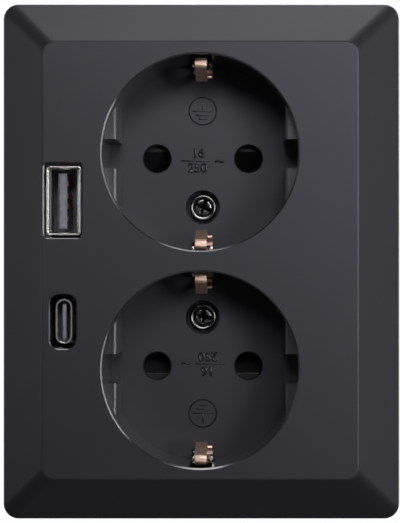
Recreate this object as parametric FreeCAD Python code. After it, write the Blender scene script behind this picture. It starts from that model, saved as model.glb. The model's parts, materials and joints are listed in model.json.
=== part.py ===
import FreeCAD, Part
import math
import os

# Double earthed wall socket with two charging ports.
# Millimetres. X to the right, Y into the wall, Z up. The wall is the plane Y = 0
# and the origin is the middle of the two wall-screw slots in the mounting plate.

vec = FreeCAD.Vector
ALONG_X = vec(1, 0, 0)
INTO_WALL = vec(0, 1, 0)
UP = vec(0, 0, 1)
CUT_OVER = 1.0

# Front cover: one moulding with a bevelled rim, a flat face and two wells
FACE_MARGIN_X = 11.9
FACE_MARGIN_Z = 2.35
FACE_STAND_OFF = 10.0
RIM_HEIGHT = 2.5
BEVEL_WIDTH = 8.6
RIM_CORNER_R = 3.0
FACE_CORNER_R = 2.6
BEVEL_EDGE = 0.35
FACE_WALL = 2.0
RIM_WALL = 2.2
COVER_RIB_WALL = 1.2
COVER_RIB_SIDE_Z = 27.0
COVER_RIB_END_X = 9.0

# Wells
WELL_R = 19.5
WELL_GAP = 4.1
WELL_DEPTH = 17.5
WELL_WALL = 1.6
FLOOR_WALL = 2.0
MOUTH_EDGE = 0.3
PIN_SPACING = 19.0
PIN_HOLE_R = 2.8
PIN_EDGE = 0.25
PIN_R = 2.4
LAND_WIDTH = 2.8
LAND_DRAFT = 0.3
LAND_DROP = 4.5
LAND_CHAMFER = 0.4
LAND_NOTCH = 5.9
EARTH_SLOT_WIDTH = 4.5
EARTH_SLOT_DEPTH = 2.1
EARTH_SLOT_DROP = 1.5
WEB_WIDTH = 12.0

# Cover screws, one in the floor of each well
SCREW_OFFSET = 10.1
SCREW_HEAD_R = 2.8
SCREW_HEAD_HEIGHT = 2.1
SCREW_HEAD_EDGE = 0.5
SCREW_SHANK_R = 1.45
SCREW_LENGTH = 14.0
SCREW_HOLE_R = 1.7
COUNTERBORE_R = 3.55
COUNTERBORE_DEPTH = 3.5
BOSS_R = 5.15
BOSS_WALL = 1.5
RECESS_WIDTH = 1.1
RECESS_LENGTH = 3.4
RECESS_DEPTH = 1.4
UPPER_RECESS_TURN = 22.0
LOWER_RECESS_TURN = 8.0
THREAD_GAP = 0.05

# Charging port windows in the cover
PORT_EDGE = 4.24
USB_A_NOTCH_GAP = 0.65
USB_C_NOTCH_GAP = 2.73
USB_A_WINDOW_GAP_X = 0.89
USB_A_WINDOW_GAP_Z = 0.9
USB_A_WINDOW_R = 0.8
USB_C_WINDOW_GAP_X = 1.02
USB_C_WINDOW_GAP_Z = 0.88
USB_C_WINDOW_R = 1.9
WINDOW_EDGE = 0.25

# Mounting plate
PLATE_SHEET = 1.2
STEEL_MARGIN = 4.0
STEEL_CORNER_R = 4.0
WELL_CLEARANCE = 0.4
WALL_SCREW_SPACING = 60.0
WALL_SLOT_WIDTH = 4.2
WALL_SLOT_LENGTH = 7.0
CORNER_SCREW_INSET_X = 5.2
CORNER_SCREW_INSET_Z = 4.5
BASE_SCREW_R = 1.25
BASE_SCREW_HEAD_R = 2.7
BASE_SCREW_HEAD_HEIGHT = 1.6
BASE_SCREW_LENGTH = 14.0
BASE_SCREW_HOLE_R = 1.6
PORT_CLEARANCE = 0.5

# Moulded base in the wall recess
BASE_SIDE_GAP = 1.6
BASE_END_GAP = 1.05
BASE_WALL = 1.8
BASE_CORNER_R = 3.0
NOTCH_HALF_Z = 3.6
NOTCH_REACH = 4.0
NOTCH_WALL = 1.2
CORNER_BOSS_R = 3.0
CORNER_BOSS_LENGTH = 18.0
POST_R = 3.2
PARTITION_GAP = 0.8
PARTITION_WALL = 1.0
LEDGE_WIDTH = 1.4
LEDGE_OVER = 3.45
POLE_RIB_X = 4.2
POLE_RIB_WALL = 1.2
POLE_RIB_HALF_Z = 8.0
CONTACT_SEAT_WIDTH = 3.0

# Shutters behind the pin holes
SHUTTER_GAP = 0.2
SHUTTER_THICKNESS = 6.0
SHUTTER_BRIDGE_THICKNESS = 2.5
SHUTTER_TRAVEL = 6.0
SHUTTER_LAP = 0.55
SHUTTER_RAMP_TOP = 1.6
SHUTTER_SIDE = 3.9
SHUTTER_TAB_WIDTH = 7.5
SHUTTER_TAB_TOP = 5.5
SHUTTER_TOP = 8.45
SHUTTER_POCKET_WIDTH = 4.8
SHUTTER_STOP_GAP = 0.15
SHUTTER_STOP_SIZE = 1.2
SPRING_WIRE_R = 0.2
SPRING_COIL_R = 1.65
SPRING_TURNS = 5.0
SPRING_WIRE_SIDES = 4
SPRING_SEAT_INSET = 3.2

# Carrier between the shutters and the contacts
CARRIER_WALL = 1.5
CARRIER_GAP = 0.2
CARRIER_END_GAP = 0.3
CARRIER_PIN_R = 3.2
RAIL_GAP = 0.25
RAIL_WIDTH = 4.3
SEAT_WALL = 1.3
SEAT_HALF_WIDTH = 3.0
SEAT_FRONT_GAP = 0.4

# Contacts for the plug pins
CONTACT_SHEET = 0.6
CONTACT_WIDTH = 5.0
CONTACT_GAP = 0.4
CONTACT_LENGTH = 7.2
CONTACT_SEAT_HEIGHT = 3.2
CONTACT_HALF_SPAN = 3.2
CONTACT_PINCH = 0.8
CONTACT_BEND_R = 1.0
RAIL_STRIP_DEPTH = 3.5
FEED_ARM_OFFSET = 6.45
FEED_ARM_WIDTH = 4.0

# Earth bar and its springs
EARTH_SHEET = 0.8
EARTH_BAR_GAP = 0.7
EARTH_SPINE_GAP = 0.4
EARTH_SPINE_WIDTH = 2.2
CRADLE_HALF_WIDTH = 2.1
CRADLE_INSET = 0.25
CRADLE_SHEET = 0.5
CRADLE_FLANGE = 0.85
CRADLE_FRONT_HEIGHT = 3.5
ARM_WIDTH = 1.85
EARTH_WEB_X = 2.6
EARTH_WEB_HALF_Z = 3.0
CLIP_SHEET = 0.4
CLIP_WIDTH = 2.3
CLIP_CREST_REACH = 4.5
CLIP_CREST_DROP = 9.3
CLIP_TOP_DROP = 3.8
CLIP_TOP_REACH = 2.2
CLIP_FOOT_OVER = 2.1
CLIP_TAIL_HEIGHT = 2.1
CLIP_TAIL_REACH = 2.3
CLIP_BEND_R = 0.9
EAR_REACH_X = 2.05
EAR_LENGTH = 3.0
EAR_HOOK = 0.9
FIT_GAP = 0.02

# Screwless terminals
CLAMP_SPAN = 5.6
CLAMP_SHEET = 0.4
CLAMP_WIDTH = 3.2
CLAMP_Z = 4.6
CLAMP_LENGTH = 7.7
CLAMP_TIP_STEP = 0.7
CLAMP_TIP_GAP = 0.6
CLAMP_LOOP = 2.0
CLAMP_BEND_R = 0.9
CLAMP_SEAT_GAP = 0.1
WIRE_HOLE_R = 1.8
WIRE_OFFSET = 1.4
BUTTON_OFFSET = 3.2
BUTTON_WIDTH = 3.2
BUTTON_HEIGHT = 3.4
BUTTON_FLANGE = 0.5
BUTTON_FLANGE_THICKNESS = 1.0
BUTTON_PROUD = 0.8
BUTTON_LENGTH = 6.8
BUTTON_GAP = 0.15

# USB ports
PORT_SHEET = 0.3
USB_A_SHELL_W = 5.72
USB_A_SHELL_H = 13.1
USB_A_SHELL_DROP = 2.0
USB_A_SHELL_LENGTH = 14.0
USB_A_FLARE = 0.3
USB_A_FLARE_LENGTH = 1.0
USB_A_TONGUE_W = 1.7
USB_A_TONGUE_GAP = 1.0
USB_A_TONGUE_X = 0.44
USB_A_TONGUE_DROP = 1.4
USB_A_TONGUE_EDGE = 0.4
USB_A_BLOCK_LENGTH = 4.5
USB_A_CONTACT_SHEET = 0.25
USB_A_CONTACT_WIDTH = 1.0
USB_A_CONTACT_PLACES = (-3.5, -1.0, 1.0, 3.5)
USB_A_CONTACT_CROWN = 0.55
USB_A_SHELL_CORNER_R = 0.7
USB_C_SHELL_W = 3.26
USB_C_SHELL_H = 8.94
USB_C_SHELL_DROP = 2.2
USB_C_SHELL_LENGTH = 9.3
USB_C_TONGUE_W = 0.7
USB_C_TONGUE_GAP = 1.12
USB_C_TONGUE_DROP = 0.9
USB_C_BLOCK_LENGTH = 2.5
USB_C_CONTACT_COUNT = 12
USB_C_CONTACT_PITCH = 0.5
USB_C_CONTACT_WIDTH = 0.25
USB_C_CONTACT_SHEET = 0.1
USB_C_LEAD_STEP = 0.5
SHELL_LEG_LENGTH = 1.0
SHELL_LEG_SHEET = 0.3

# Charger board and its components
BOARD_THICKNESS = 1.6
BOARD_END_WALL = 2.8
BOARD_FRONT_Y = 0.8
BOARD_BACK_GAP = 0.8
COMPONENT_GAP = 0.6
BOARD_TONGUE_FRONT_Y = -4.0
BOARD_TONGUE_MARGIN = 0.5
GUIDE_LAP = 0.8
GUIDE_GAP = 0.15
GUIDE_WALL = 1.3
CORE_HEIGHT = 5.8
CORE_LENGTH = 14.0
CORE_WIDTH = 12.0
CORE_LEG = 2.4
CORE_END_GAP = 3.9
WINDING_GAP = 0.2
WINDING_EDGE_R = 0.4
INPUT_CAPACITOR_R = 3.15
INPUT_CAPACITOR_LENGTH = 11.0
OUTPUT_CAPACITOR_R = 2.5
OUTPUT_CAPACITOR_LENGTH = 8.0
CAPACITOR_EDGE = 0.4
FUSE_R = 1.8
FUSE_LENGTH = 10.0
CHIP_HEIGHT = 1.6
CHIP_WIDTH = 4.0
CHIP_LENGTH = 5.0
CHIP_EDGE = 0.4
RECTIFIER_SIZE = 4.8
RECTIFIER_HEIGHT = 2.5
CHOKE_R = 3.0
CHOKE_CORE_R = 1.6
CHOKE_HEIGHT = 4.6
CHOKE_FLANGE = 0.9

# Levels along Y, worked out from the sizes above
FACE_Y = -FACE_STAND_OFF
BEVEL_Y = -RIM_HEIGHT
FACE_BACK_Y = FACE_Y + FACE_WALL
FLOOR_Y = FACE_Y + WELL_DEPTH
FLOOR_BACK_Y = FLOOR_Y + FLOOR_WALL
LAND_Y = FACE_Y + LAND_DROP
COUNTERBORE_Y = FLOOR_Y + COUNTERBORE_DEPTH
BOSS_Y = COUNTERBORE_Y + BOSS_WALL
SHUTTER_Y = FLOOR_BACK_Y + SHUTTER_GAP
CARRIER_Y = SHUTTER_Y + SHUTTER_THICKNESS + CARRIER_GAP
CARRIER_BACK_Y = CARRIER_Y + CARRIER_WALL
CONTACT_FRONT_Y = CARRIER_BACK_Y + CONTACT_GAP
CONTACT_BACK_Y = CONTACT_FRONT_Y + CONTACT_LENGTH
REAR_INNER_Y = CONTACT_BACK_Y + CONTACT_SEAT_HEIGHT
BASE_DEPTH = REAR_INNER_Y + BASE_WALL
CLAMP_FRONT_Y = REAR_INNER_Y - CLAMP_LENGTH
CLAMP_TIP_Y = CLAMP_FRONT_Y + CLAMP_TIP_STEP
EARTH_Y = FLOOR_BACK_Y + EARTH_BAR_GAP
EARTH_BACK_Y = EARTH_Y + EARTH_SHEET
USB_A_Y = FACE_Y + USB_A_SHELL_DROP
USB_C_Y = FACE_Y + USB_C_SHELL_DROP
CRADLE_FRONT_Y = FLOOR_Y - CRADLE_FRONT_HEIGHT
CLIP_TAIL_Y = FLOOR_Y - CLIP_TAIL_HEIGHT
BOARD_BACK_Y = REAR_INNER_Y - BOARD_BACK_GAP
CORE_Y = (BOARD_FRONT_Y + BOARD_BACK_Y) / 2

# Places across the face
WELL_SIDES = (1, -1)
WELL_OUTER_R = WELL_R + WELL_WALL
WELL_Z = WELL_R + WELL_GAP / 2
PLATE_WIDTH = 2 * (WELL_R + FACE_MARGIN_X + BEVEL_WIDTH)
PLATE_HEIGHT = 2 * (WELL_Z + WELL_R + FACE_MARGIN_Z + BEVEL_WIDTH)
STEEL_WIDTH = PLATE_WIDTH - 2 * STEEL_MARGIN
STEEL_HEIGHT = PLATE_HEIGHT - 2 * STEEL_MARGIN
PORT_X = PORT_EDGE + BEVEL_WIDTH - PLATE_WIDTH / 2
USB_A_Z = NOTCH_HALF_Z + NOTCH_WALL + USB_A_NOTCH_GAP + USB_A_SHELL_H / 2
USB_C_Z = -(NOTCH_HALF_Z + NOTCH_WALL + USB_C_NOTCH_GAP + USB_C_SHELL_H / 2)
USB_A_WINDOW_W = USB_A_SHELL_W + 2 * USB_A_WINDOW_GAP_X
USB_A_WINDOW_H = USB_A_SHELL_H + 2 * USB_A_WINDOW_GAP_Z
USB_C_WINDOW_W = USB_C_SHELL_W + 2 * USB_C_WINDOW_GAP_X
USB_C_WINDOW_H = USB_C_SHELL_H + 2 * USB_C_WINDOW_GAP_Z
USB_A_TONGUE_H = USB_A_SHELL_H - 2 * USB_A_TONGUE_GAP
USB_C_TONGUE_H = USB_C_SHELL_H - 2 * USB_C_TONGUE_GAP
SCREW_Z = WELL_Z - SCREW_OFFSET
PIN_X = PIN_SPACING / 2
LAND_FLOOR_X = WELL_R - LAND_WIDTH
EARTH_SLOT_R = WELL_R - EARTH_SLOT_DEPTH
CRADLE_BACK_R = WELL_R - CRADLE_INSET
CLIP_CREST_R = WELL_R - CLIP_CREST_REACH
CLIP_TOP_R = WELL_R - CLIP_TOP_REACH
CLIP_TAIL_R = WELL_R - CLIP_TAIL_REACH
BOARD_FACE_X = PORT_X + USB_A_SHELL_W / 2
BOARD_BACK_X = BOARD_FACE_X + BOARD_THICKNESS
COMPONENT_HEIGHT = max(2 * INPUT_CAPACITOR_R, CORE_HEIGHT + WINDING_GAP)
BASE_INNER_LEFT_X = BOARD_FACE_X - COMPONENT_HEIGHT - COMPONENT_GAP
BASE_INNER_RIGHT_X = WELL_OUTER_R + BASE_SIDE_GAP
BASE_INNER_HALF_Z = WELL_Z + WELL_OUTER_R + BASE_END_GAP
BASE_LEFT_X = BASE_INNER_LEFT_X - BASE_WALL
BASE_RIGHT_X = BASE_INNER_RIGHT_X + BASE_WALL
BASE_HALF_Z = BASE_INNER_HALF_Z + BASE_WALL
CORNER_SCREW_X = BASE_RIGHT_X - CORNER_SCREW_INSET_X
CORNER_SCREW_Z = BASE_HALF_Z - CORNER_SCREW_INSET_Z
NOTCH_X = NOTCH_REACH - WALL_SCREW_SPACING / 2
PARTITION_X = BOARD_BACK_X + PARTITION_GAP + PARTITION_WALL
LEDGE_HALF_Z = WELL_Z + LEDGE_OVER
SHUTTER_HALF_WIDTH = PIN_X + SHUTTER_SIDE
EARTH_SPINE_X = SHUTTER_HALF_WIDTH + EARTH_SPINE_GAP
CARRIER_HALF_Z = BASE_INNER_HALF_Z - CARRIER_END_GAP
FEED_ARM_Z = WELL_Z + FEED_ARM_OFFSET
BOARD_HALF_Z = BASE_INNER_HALF_Z - BOARD_END_WALL
CORE_Z = BOARD_HALF_Z - CORE_END_GAP - CORE_LENGTH / 2
SHUTTER_LOW_Z = WELL_Z - PIN_HOLE_R - SHUTTER_LAP
SPRING_SEAT_Z = WELL_Z + WELL_R - SPRING_SEAT_INSET
SPRING_LENGTH = WELL_R - SPRING_SEAT_INSET - SHUTTER_TAB_TOP
SHUTTER_BRIDGE_Z = WELL_Z + PIN_R + SHUTTER_LAP / 2
POLE_WEB_X = PIN_X + CONTACT_HALF_SPAN - CONTACT_SHEET


def box(x_pair, y_pair, z_pair):
    """Solid block between two places on each axis, given in any order."""
    low = vec(min(x_pair), min(y_pair), min(z_pair))
    size = [abs(pair[1] - pair[0]) for pair in (x_pair, y_pair, z_pair)]
    return Part.makeBox(size[0], size[1], size[2], low)


def around(middle, width):
    """The two ends of a width set evenly about a middle."""
    return (middle - width / 2, middle + width / 2)


def rod(x, z, radius, y_start, y_end):
    """Round bar along Y."""
    return Part.makeCylinder(radius, y_end - y_start, vec(x, y_start, z), INTO_WALL)


def rounded_wire(width, height, radius, y, x=0.0, z=0.0):
    """Rounded rectangle in the plane at depth y."""
    half_x = width / 2 - radius
    half_z = height / 2 - radius
    arcs = []
    for turn, (side_x, side_z) in enumerate(((1, 1), (-1, 1), (-1, -1), (1, -1))):
        centre = vec(x + side_x * half_x, y, z + side_z * half_z)
        angles = [math.radians(90 * turn + step) for step in (0, 45, 90)]
        arcs.append([centre + vec(radius * math.cos(a), 0, radius * math.sin(a)) for a in angles])
    edges = []
    for arc, following in zip(arcs, arcs[1:] + arcs[:1]):
        edges.append(Part.Arc(arc[0], arc[1], arc[2]).toShape())
        if arc[2].distanceToPoint(following[0]) > FIT_GAP / 2:
            edges.append(Part.LineSegment(arc[2], following[0]).toShape())
    return Part.Wire(edges)


def slab(wire, y_length):
    """Solid made by pushing a closed wire along Y."""
    return Part.Face(wire).extrude(INTO_WALL * y_length)


def rounded_block(width, height, radius, y_start, y_end, x=0.0, z=0.0):
    """Block with rounded corners along Y."""
    return slab(rounded_wire(width, height, radius, y_start, x, z), y_end - y_start)


def polygon_prism(points, push):
    """Solid pushed from a closed outline of vectors."""
    return Part.Face(Part.makePolygon(points + points[:1])).extrude(push)


def bent_path(points):
    """Flat path through (u, v, bend radius) points, each bend a tangent arc."""
    spots = [vec(u, v, 0) for u, v, _ in points]
    edges = []
    start = spots[0]
    for before, here, after, point in zip(spots, spots[1:], spots[2:], points[1:]):
        radius = point[2]
        back = (before - here).normalize()
        ahead = (after - here).normalize()
        half_angle = back.getAngle(ahead) / 2
        reach = radius / math.tan(half_angle)
        inward = (back + ahead).normalize()
        top = here + inward * (radius / math.sin(half_angle) - radius)
        edges.append(Part.LineSegment(start, here + back * reach).toShape())
        edges.append(Part.Arc(here + back * reach, top, here + ahead * reach).toShape())
        start = here + ahead * reach
    edges.append(Part.LineSegment(start, spots[-1]).toShape())
    return Part.Wire(edges)


def strip(points, sheet, width, middle=0.0):
    """Bent sheet: a flat path thickened to its right and pushed to its width along local Z."""
    face = bent_path(points).makeOffset2D(sheet, 0, True, True, False)
    band = face.extrude(UP * width)
    band.translate(UP * (middle - width / 2))
    return band


def joined(shapes):
    """One clean solid from overlapping or touching shapes."""
    return shapes[0].multiFuse(shapes[1:]).removeSplitter()


def mirrored_down(shape):
    """The same shape mirrored from the upper half to the lower."""
    return shape.mirror(vec(0, 0, 0), UP)


def mirrored_left(shape):
    """The same shape mirrored from the right half to the left."""
    return shape.mirror(vec(0, 0, 0), ALONG_X)


# Front cover

def bevel_slope():
    """Angle between the bevel and the wall."""
    return math.atan2(FACE_STAND_OFF - RIM_HEIGHT, BEVEL_WIDTH)


def cover_outside():
    """Bevelled rim and flat face, as a full block with its edges broken."""
    back = BEVEL_EDGE * math.sin(bevel_slope())
    across = BEVEL_EDGE * math.cos(bevel_slope())
    steps = [
        (0.0, 0.0, RIM_CORNER_R),
        (BEVEL_Y + BEVEL_EDGE, 0.0, RIM_CORNER_R),
        (BEVEL_Y - back, across, RIM_CORNER_R),
        (FACE_Y + back, BEVEL_WIDTH - across, FACE_CORNER_R),
        (FACE_Y, BEVEL_WIDTH + BEVEL_EDGE, FACE_CORNER_R),
    ]
    outlines = [rounded_wire(PLATE_WIDTH - 2 * inset, PLATE_HEIGHT - 2 * inset, radius, y)
                for y, inset, radius in steps]
    return Part.makeLoft(outlines, True, True)


def cover_hollow():
    """Space behind the face, with the same wall across the bevel as across the face."""
    slope = bevel_slope()
    inset_at_back = (FACE_STAND_OFF - FACE_WALL - RIM_HEIGHT) / math.tan(slope) + FACE_WALL / math.sin(slope)
    inner_r = RIM_CORNER_R - RIM_WALL / 2
    wide = rounded_wire(PLATE_WIDTH - 2 * RIM_WALL, PLATE_HEIGHT - 2 * RIM_WALL, inner_r, BEVEL_Y)
    narrow = rounded_wire(
        PLATE_WIDTH - 2 * inset_at_back, PLATE_HEIGHT - 2 * inset_at_back, inner_r, FACE_BACK_Y)
    open_end = rounded_block(
        PLATE_WIDTH - 2 * RIM_WALL, PLATE_HEIGHT - 2 * RIM_WALL, inner_r, BEVEL_Y, CUT_OVER)
    return joined([open_end, Part.makeLoft([wide, narrow], True, True)])


def well_lands(side):
    """Two side lands of a well, each with its notch down to the floor."""
    z = side * WELL_Z
    lands = []
    for hand in (-1, 1):
        outline = [
            (LAND_FLOOR_X, FLOOR_Y + CUT_OVER / 2),
            (LAND_FLOOR_X + LAND_DRAFT, LAND_Y + LAND_CHAMFER),
            (LAND_FLOOR_X + LAND_DRAFT + LAND_CHAMFER, LAND_Y),
            (WELL_OUTER_R, LAND_Y),
            (WELL_OUTER_R, FLOOR_Y + CUT_OVER / 2),
        ]
        points = [vec(hand * x, y, z - WELL_R) for x, y in outline]
        land = polygon_prism(points, UP * 2 * WELL_R)
        notch = box((hand * PIN_X, hand * WELL_OUTER_R), (LAND_Y - CUT_OVER, FLOOR_BACK_Y),
                    around(z, LAND_NOTCH))
        lands.append(land.cut(notch))
    return lands


def well_hollow(side):
    """Space inside a well, with a softened mouth and the lands left standing."""
    z = side * WELL_Z
    wide_r = WELL_R + MOUTH_EDGE
    front = FACE_Y - CUT_OVER
    edges = [
        Part.LineSegment(vec(0, front, z), vec(wide_r, front, z)),
        Part.LineSegment(vec(wide_r, front, z), vec(wide_r, FACE_Y, z)),
        Part.LineSegment(vec(wide_r, FACE_Y, z), vec(WELL_R, FACE_Y + MOUTH_EDGE, z)),
        Part.LineSegment(vec(WELL_R, FACE_Y + MOUTH_EDGE, z), vec(WELL_R, FLOOR_Y, z)),
        Part.LineSegment(vec(WELL_R, FLOOR_Y, z), vec(0, FLOOR_Y, z)),
        Part.LineSegment(vec(0, FLOOR_Y, z), vec(0, front, z)),
    ]
    outline = Part.Face(Part.Wire([edge.toShape() for edge in edges]))
    hollow = outline.revolve(vec(0, 0, z), INTO_WALL, 360)
    for land in well_lands(side):
        hollow = hollow.cut(land)
    return hollow


def well_openings(side):
    """Pin holes, screw hole and earth slots of a well."""
    z = side * WELL_Z
    cuts = []
    for hand in (-1, 1):
        cuts.append(rod(hand * PIN_X, z, PIN_HOLE_R, FLOOR_Y - CUT_OVER, FLOOR_BACK_Y + CUT_OVER))
        cuts.append(Part.makeCone(PIN_HOLE_R + 2 * PIN_EDGE, PIN_HOLE_R, 2 * PIN_EDGE,
                                  vec(hand * PIN_X, FLOOR_Y - PIN_EDGE, z), INTO_WALL))
    screw_z = side * SCREW_Z
    cuts.append(rod(0, screw_z, COUNTERBORE_R, FLOOR_Y - CUT_OVER, COUNTERBORE_Y))
    cuts.append(rod(0, screw_z, SCREW_HOLE_R, COUNTERBORE_Y - CUT_OVER, BOSS_Y + CUT_OVER))
    for end in (-1, 1):
        radial = (z + end * EARTH_SLOT_R, z + end * (WELL_OUTER_R + FIT_GAP))
        cuts.append(box(around(0, EARTH_SLOT_WIDTH),
                        (FACE_Y + EARTH_SLOT_DROP, FLOOR_BACK_Y + CUT_OVER), radial))
    return cuts


def port_window(width, height, radius, z):
    """Cutter for a port window with a softened edge."""
    through = rounded_block(width, height, radius, FACE_Y - CUT_OVER, FACE_BACK_Y + CUT_OVER, PORT_X, z)
    outer = rounded_wire(width + 2 * WINDOW_EDGE, height + 2 * WINDOW_EDGE, radius + WINDOW_EDGE,
                         FACE_Y, PORT_X, z)
    inner = rounded_wire(width, height, radius, FACE_Y + WINDOW_EDGE, PORT_X, z)
    return through.fuse(Part.makeLoft([outer, inner], True, True))


def port_windows():
    """Cutters of both port windows."""
    return [
        port_window(USB_A_WINDOW_W, USB_A_WINDOW_H, USB_A_WINDOW_R, USB_A_Z),
        port_window(USB_C_WINDOW_W, USB_C_WINDOW_H, USB_C_WINDOW_R, USB_C_Z),
    ]


def cover_ribs():
    """Stiffening ribs behind the face, kept clear of the mounting plate."""
    back = -PLATE_SHEET - RIM_WALL / 2
    levels = (FACE_BACK_Y - FACE_WALL / 2, back)
    ribs = []
    for z in (-COVER_RIB_SIDE_Z, COVER_RIB_SIDE_Z):
        for hand in (-1, 1):
            ribs.append(box((hand * (WELL_R - CUT_OVER), hand * (PLATE_WIDTH / 2 - RIM_WALL)),
                            levels, around(z, COVER_RIB_WALL)))
    for x in (-COVER_RIB_END_X, COVER_RIB_END_X):
        for end in (-1, 1):
            ribs.append(box(around(x, COVER_RIB_WALL), levels,
                            (end * (WELL_Z + WELL_R - CUT_OVER), end * (PLATE_HEIGHT / 2 - RIM_WALL))))
    return ribs


def front_cover():
    """The whole front moulding."""
    outside = cover_outside()
    shell = outside.cut(cover_hollow())
    added = [rod(0, side * WELL_Z, WELL_OUTER_R, FACE_BACK_Y, FLOOR_BACK_Y) for side in WELL_SIDES]
    added += [rod(0, side * SCREW_Z, BOSS_R, FLOOR_Y, BOSS_Y) for side in WELL_SIDES]
    added.append(box(around(0, WEB_WIDTH), (FACE_BACK_Y, FLOOR_BACK_Y), around(0, 2 * WELL_WALL)))
    added += [rib.common(outside) for rib in cover_ribs()]
    body = joined([shell] + added)
    for side in WELL_SIDES:
        body = body.cut([well_hollow(side)] + well_openings(side))
    return body.cut(port_windows()).removeSplitter()


def cover_screw(side, recess_turn):
    """Pan-head screw with a cross recess, seated in its counterbore."""
    z = side * SCREW_Z
    head_y = COUNTERBORE_Y - SCREW_HEAD_HEIGHT
    head = rod(0, z, SCREW_HEAD_R, head_y, COUNTERBORE_Y)
    rim = [e for e in head.Edges if e.BoundBox.YMax < head_y + FIT_GAP]
    head = head.makeChamfer(SCREW_HEAD_EDGE, rim)
    shank = rod(0, z, SCREW_SHANK_R, COUNTERBORE_Y, COUNTERBORE_Y + SCREW_LENGTH)
    screw = joined([head, shank])
    for arm in (0, 90):
        slot = box(around(0, RECESS_WIDTH), (head_y - CUT_OVER, head_y + RECESS_DEPTH),
                   around(z, RECESS_LENGTH))
        slot.rotate(vec(0, 0, z), INTO_WALL, arm + recess_turn)
        screw = screw.cut(slot)
    return screw


# Mounting plate and its screws

def steel_corners():
    """Places of the four screws that hold the base to the mounting plate."""
    return [(x, z) for x in (-CORNER_SCREW_X, CORNER_SCREW_X)
            for z in (-CORNER_SCREW_Z, CORNER_SCREW_Z)]


def port_passage(shell_height, z):
    """Cutter for the passage of a port and its board through the mounting plate."""
    left = PORT_X - USB_A_SHELL_W / 2 - PORT_CLEARANCE
    right = BOARD_BACK_X + PORT_CLEARANCE
    return box((left, right), (-PLATE_SHEET - CUT_OVER, CUT_OVER),
               around(z, shell_height + 2 * BOARD_TONGUE_MARGIN + 2 * PORT_CLEARANCE))


def mounting_plate():
    """Zinc-plated steel plate with slots for the wall screws."""
    plate = rounded_block(STEEL_WIDTH, STEEL_HEIGHT, STEEL_CORNER_R, -PLATE_SHEET, 0.0)
    cuts = [rod(0, side * WELL_Z, WELL_OUTER_R + WELL_CLEARANCE, -PLATE_SHEET - CUT_OVER, CUT_OVER)
            for side in WELL_SIDES]
    cuts.append(box(around(0, WEB_WIDTH + 2 * WELL_CLEARANCE), (-PLATE_SHEET - CUT_OVER, CUT_OVER),
                    around(0, WEB_WIDTH)))
    cuts.append(port_passage(USB_A_SHELL_H, USB_A_Z))
    cuts.append(port_passage(USB_C_SHELL_H, USB_C_Z))
    for hand in (-1, 1):
        cuts.append(rounded_block(WALL_SLOT_LENGTH, WALL_SLOT_WIDTH, WALL_SLOT_WIDTH / 2,
                                  -PLATE_SHEET - CUT_OVER, CUT_OVER, hand * WALL_SCREW_SPACING / 2))
    cuts += [rod(x, z, BASE_SCREW_HOLE_R, -PLATE_SHEET - CUT_OVER, CUT_OVER) for x, z in steel_corners()]
    return plate.cut(cuts)


def base_screws():
    """Four screws from the mounting plate into the corner bosses of the base."""
    screws = []
    for x, z in steel_corners():
        head = rod(x, z, BASE_SCREW_HEAD_R, -PLATE_SHEET - BASE_SCREW_HEAD_HEIGHT, -PLATE_SHEET)
        shank = rod(x, z, BASE_SCREW_R, -PLATE_SHEET, -PLATE_SHEET + BASE_SCREW_LENGTH)
        screws.append(joined([head, shank]))
    return Part.makeCompound(screws)


# Moulded base

def poles():
    """Web places of the three terminals and the hand each one opens to."""
    return {"live": (-POLE_WEB_X, -1), "neutral": (POLE_WEB_X, 1), "earth": (EARTH_WEB_X, 1)}


def base_shell():
    """Open box with the notch that clears the left wall screw."""
    middle_x = (BASE_LEFT_X + BASE_RIGHT_X) / 2
    width = BASE_RIGHT_X - BASE_LEFT_X
    block = rounded_block(width, 2 * BASE_HALF_Z, BASE_CORNER_R, 0.0, BASE_DEPTH, middle_x)
    hollow = rounded_block(width - 2 * BASE_WALL, 2 * BASE_INNER_HALF_Z, BASE_CORNER_R - BASE_WALL / 2,
                           -CUT_OVER, REAR_INNER_Y, middle_x)
    filler = box((BASE_LEFT_X, NOTCH_X + NOTCH_WALL), (0, BASE_DEPTH),
                 around(0, 2 * (NOTCH_HALF_Z + NOTCH_WALL)))
    notch = box((BASE_LEFT_X - CUT_OVER, NOTCH_X), (-CUT_OVER, BASE_DEPTH + CUT_OVER),
                around(0, 2 * NOTCH_HALF_Z))
    return joined([block.cut(hollow), filler]).cut(notch)


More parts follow.
